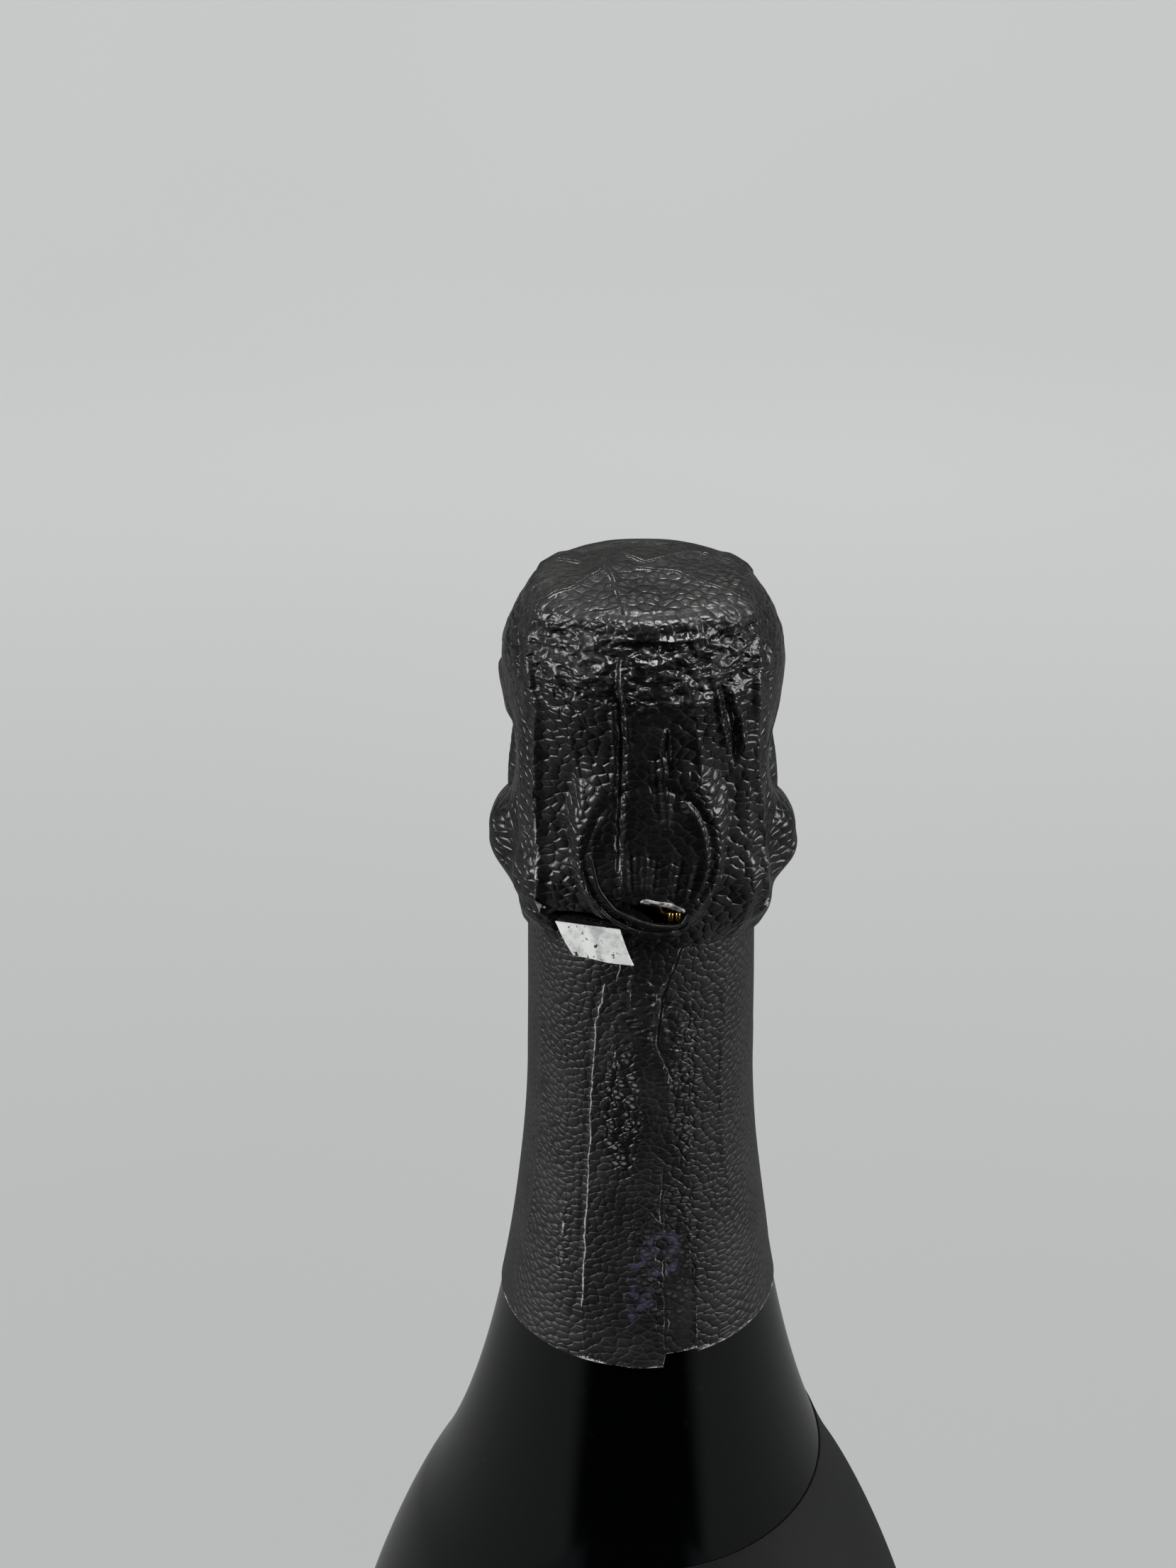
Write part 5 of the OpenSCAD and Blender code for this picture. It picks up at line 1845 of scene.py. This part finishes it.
@dataclass
class NeckFoil(Assembly):
    """Embossed foil on the neck, with its lap, creases and uneven foot."""

    glass: GlassForm
    form: FoilForm
    columns: int = 300
    rows: int = 150
    lap_edge: float = 25.0
    lap_start: float = 340.0
    lap_foot: float = 104.6
    notch_edge: float = 11.0
    notch_foot: float = 103.9
    wrap: float = 372.0
    top_drop: float = 40.6
    foil_len: float = 105.8
    thickness: float = 0.16
    seat: float = 0.26
    lap_rise: float = 0.22

    def foot(self, az: Array) -> Array:
        """Drop of the lower edge, which is shorter beside the lap and in its notch."""
        a = turned(az)
        in_notch, past_lap = (a > self.notch_edge) & (a < self.lap_edge), a >= self.lap_edge
        return np.select([in_notch, past_lap], [self.notch_foot, self.lap_foot], self.foil_len)

    def build(self, palette: Palette, frame: dict) -> None:
        """As in Assembly: makes the neck foil."""
        obj, u, v = grid_piece("neck_wrap", self.columns, self.rows)
        az = self.lap_edge + (u - 1) * self.wrap
        low = self.foot(np.where(u > 0.999, self.lap_edge - 1, az))
        drop = low + (self.top_drop - low) * v
        z = self.form.top_z - drop
        lap = ease((u * self.wrap - self.lap_start) / 6)
        place = around_axis(az, drop, 15)
        r = self.glass.radius(z) + self.seat + self.lap_rise * lap + 0.10 * ripple(place, (9, 9, 14), 21.0)
        for fold in NECK_FOLDS:
            r = r + fold.lift * fold.over(az, drop)
        set_uv(obj, unrolled(az, drop))
        rim = low - drop
        scuffed = 0.72 * ease((1.5 - rim) / 1.2) * (0.6 + 0.4 * ripple(place, (6, 6, 6), 3.3))
        scuffed = np.maximum(scuffed, 0.6 * ease((0.6 - rim) / 0.4))
        store_marks(obj, az, drop, NECK_FOLDS, NECK_SPOTS, {"rubbed": scuffed})
        set_coords(obj, polar(r, az, z))
        finish_sheet(obj, self.thickness)
        publish(obj, Body.BOTTLE, "dark_foil", palette.neck, "neck_foil")


@dataclass
class TearTab(Assembly):
    """The free end of the tear tape, bent down over the foil."""

    width: float = 8.6
    length: float = 4.5
    lean: float = 2.2
    rise: float = 0.8
    taper: float = 0.35
    curl: float = 0.35
    warp: float = 0.16
    unevenness: float = 0.10
    angle: float = -22.0
    reach: float = 17.3
    top_z: float = 274.4
    thickness: float = 0.15

    def build(self, palette: Palette, frame: dict) -> None:
        """As in Assembly: makes the tab and dresses the tape."""
        obj, u, t = grid_piece("tab", 40, 26)
        s = u * 2 - 1
        across = s * (self.width / 2 - self.taper * t) + self.lean * t
        down = self.length * t * (0.97 + 0.03 * s)
        out = self.curl * np.sin(t * 2.4) + self.warp * np.sin(s * 3.1 + 0.6) * t
        uneven = ripple(np.stack([across, down, 0 * t], 1), (2.5, 2.0, 1), 4.2)
        out = out + self.unevenness * uneven + self.reach
        sin, cos = math.sin(math.radians(self.angle)), math.cos(math.radians(self.angle))
        z = self.top_z - down + self.rise * (s + 1) / 2
        set_uv(obj, np.stack([across, down], 1))
        set_coords(obj, np.stack([out * sin + across * cos, across * sin - out * cos, z], 1) * MM)
        thicken(obj, self.thickness)
        smooth(obj, 50)
        publish(obj, Body.TAB, "tape_film", palette.film, "tear_tab")
        # The tape takes the dark film, which also paints the shade seen in the slit under the hood
        dress(frame["nodes"]["tear_tape"], palette.tape)


@dataclass
class FrontLabel(Assembly):
    """Bare label on the shoulder and body."""

    glass: GlassForm
    foot_z: float = 72.0
    top_z: float = 178.6
    middle: float = 60.0
    half_angle: float = 60.0
    width: float = 76.0
    corner: float = 5.0
    thickness: float = 0.15
    seat: float = 0.05

    def build(self, palette: Palette, frame: dict) -> None:
        """As in Assembly: makes the label."""
        obj, u, v = grid_piece("label", 120, 90)
        z = self.foot_z + (self.top_z - self.foot_z) * v
        r = self.glass.radius(z) + self.seat + self.thickness
        half = np.minimum(self.half_angle, np.degrees(np.arcsin(np.clip(self.width / 2 / r, 0, 1))))
        up = np.clip((self.foot_z + self.corner - z) / self.corner, 0, 1)
        half = half - np.degrees((self.corner / r) * (1 - np.sqrt(1 - up**2)))
        az = self.middle + (u * 2 - 1) * half
        set_uv(obj, unrolled(az, z, r))
        set_attribute(obj, "edge", (self.top_z - z < 0.6).astype(float))
        set_coords(obj, polar(r, az, z))
        finish_sheet(obj, self.thickness, 50)
        publish(obj, Body.BOTTLE, "label_paper", palette.label, "front_label")


# Studio


@dataclass
class Studio:
    """Floor, backdrop, lights and camera.

    The camera's focal length in pixels goes with the long side of the photograph's frame.
    """

    head_z: float = 313.95
    back: float = -244.3
    above: float = 96.24
    focal_px: float = 3075.3
    long_side_px: float = 2212.0
    sensor: float = 36.0
    pitch: float = 26.96
    yaw: float = 1.6
    roll: float = -0.24
    near: Colour = (0.455, 0.465, 0.46)
    far: Colour = (0.655, 0.672, 0.661)
    front_dark: Colour = (0.003, 0.003, 0.004)
    side_grey: Colour = (0.125, 0.13, 0.145)
    sky_grey: Colour = (0.60, 0.61, 0.62)
    lamps: Tuple[Tuple[str, Tuple[float, ...], Point, float], ...] = (
        ("left_window", (-0.9, -0.25, 0.55), (0.3, 0.8), 8.5),
        ("right_window", (0.9, -0.15, 0.55), (0.3, 0.8), 7.0),
        ("overhead", (0.1, 0.05, 1.15), (0.5, 0.4), 9.0),
    )
    lit_z: float = 0.2

    def build(self) -> None:
        """Sets up everything round the bottle."""
        self.floor()
        self.world()
        for lamp in self.lamps:
            self.lamp(*lamp)
        self.camera()

    def floor(self, length: float = 4.0, width: float = 5.0, level: float = 1.3, bend: float = 0.5) -> None:
        """A floor that sweeps up into a backdrop.

        Args:
            length: along the sweep, in metres.
            width: across it.
            level: distance behind the bottle at which it starts to bend up.
            bend: radius of the bend.
        """
        obj, u, v = grid_piece("sweep", 8, 40)
        run = (v - 0.25) * length
        ang = np.clip((run - level) / bend, 0, math.pi / 2)
        y = np.where(run < level, run, level + bend * np.sin(ang))
        z = bend * (1 - np.cos(ang)) + np.maximum(0, run - level - bend * math.pi / 2)
        set_coords(obj, np.stack([(u - 0.5) * width, y, z], 1))
        smooth(obj, 60)
        dress(obj, self.paper())

    def paper(self) -> Material:
        """Grey paper; what the camera and gloss see of it keeps its own level under any light.

        Returns:
            The material of floor and backdrop.
        """
        mat, g = blank_material("studio_paper")
        x, y, z = g.add("SeparateXYZ", {0: g.place()}).outputs
        cloud = g.times(g.math("SUBTRACT", g.noise(g.place(), 1.5, 2.0), 0.5), 0.25)
        colour = g.mix(g.math("ADD", g.ramp(y, 0.05, 1.1), cloud, clamp=True), self.near, self.far)
        lit = g.add("BsdfPrincipled", {"Base Color": colour, "Roughness": 0.9})
        camera, glossy, through = (g.add("LightPath").outputs[f"Is {kind} Ray"]
                                   for kind in ("Camera", "Glossy", "Transmission"))
        aside = g.plus(y, 0.62, g.math("ABSOLUTE", x))
        level = g.plus(g.ramp(z, 0.75, 1.4), 0.32, g.plus(g.ramp(z, 0.0, 0.3), -0.2, 0.28))
        mirrored = g.mix(g.times(g.ramp(aside, 0.0, 0.2), level), (0.0, 0.0, 0.0), self.far)
        glow = g.add("Emission", {"Color": g.mix(glossy, colour, mirrored)})
        seen = g.most(g.times(g.most(camera, through), 0.8), glossy)
        both = g.add("MixShader", {0: seen, 1: lit.outputs[0], 2: glow.outputs[0]})
        g.add("OutputMaterial", {"Surface": both.outputs[0]})
        return mat

    def world(self) -> None:
        """Soft grey surroundings, darker on the side where the camera stands."""
        world = bpy.data.worlds.new("studio")
        bpy.context.scene.world = world
        world.use_nodes = True
        g = Graph(world.node_tree)
        x, y, z = g.add("SeparateXYZ", {0: g.add("TexCoord").outputs["Generated"]}).outputs
        side = g.math("ADD", g.math("ABSOLUTE", x), g.most(y, 0.0))
        colour = g.mix(g.ramp(side, 0.40, 0.56), self.front_dark, self.side_grey)
        colour = g.mix(g.times(g.ramp(z, 0.5, 0.72), g.ramp(y, 0.12, 0.4)), colour, self.sky_grey)
        backdrop = tuple(0.82 * c for c in self.far)
        colour = g.mix(g.add("LightPath").outputs["Is Camera Ray"], colour, backdrop)
        g.feed(world.node_tree.nodes["Background"], {"Color": colour, "Strength": 1.0})

    def lamp(self, name: str, place: Sequence[float], size: Point, power: float) -> None:
        """One soft rectangular lamp, turned to the bottle.

        Args:
            name: name of the lamp.
            place: where it stands, in metres.
            size: width and height in metres.
            power: in watts.
        """
        data = bpy.data.lights.new(name, "AREA")
        data.shape, data.size, data.size_y, data.energy = "RECTANGLE", *size, power
        obj = placed(name, data)
        obj.location = place
        way = Vector((0.0, 0.0, self.lit_z)) - Vector(place)
        obj.rotation_euler = way.to_track_quat("-Z", "Y").to_euler()

    def camera(self) -> None:
        """Camera fitted to the photograph's outlines."""
        data = bpy.data.cameras.new("view")
        data.sensor_width = self.sensor
        data.lens = self.focal_px / self.long_side_px * self.sensor
        data.clip_start, data.clip_end = 0.01, 20.0
        obj = placed("view", data)
        obj.location = (0.0, self.back * MM, (self.head_z + self.above) * MM)
        yaw, tilt, roll = (Matrix.Rotation(math.radians(angle), 3, axis) for angle, axis in (
            (self.yaw, "Z"), (90 - self.pitch, "X"), (self.roll, "Z")))
        obj.rotation_euler = (yaw @ tilt @ roll).to_euler()
        bpy.context.scene.camera = obj


def main() -> None:
    """Builds the looks of the bottle in order."""
    logging.basicConfig(level=logging.INFO, format="%(name)s %(message)s")
    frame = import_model()
    bpy.context.scene.view_settings.view_transform = "Standard"
    palette = Palette()
    glass, foil = GlassForm(), FoilForm()
    for part in (Vessel(glass), Stopper(), Cage(), FoilCapsule(foil), NeckFoil(glass, foil), TearTab(),
                 FrontLabel(glass)):
        part.build(palette, frame)
    Studio().build()
    deselect()


if __name__ == "__main__":
    main()
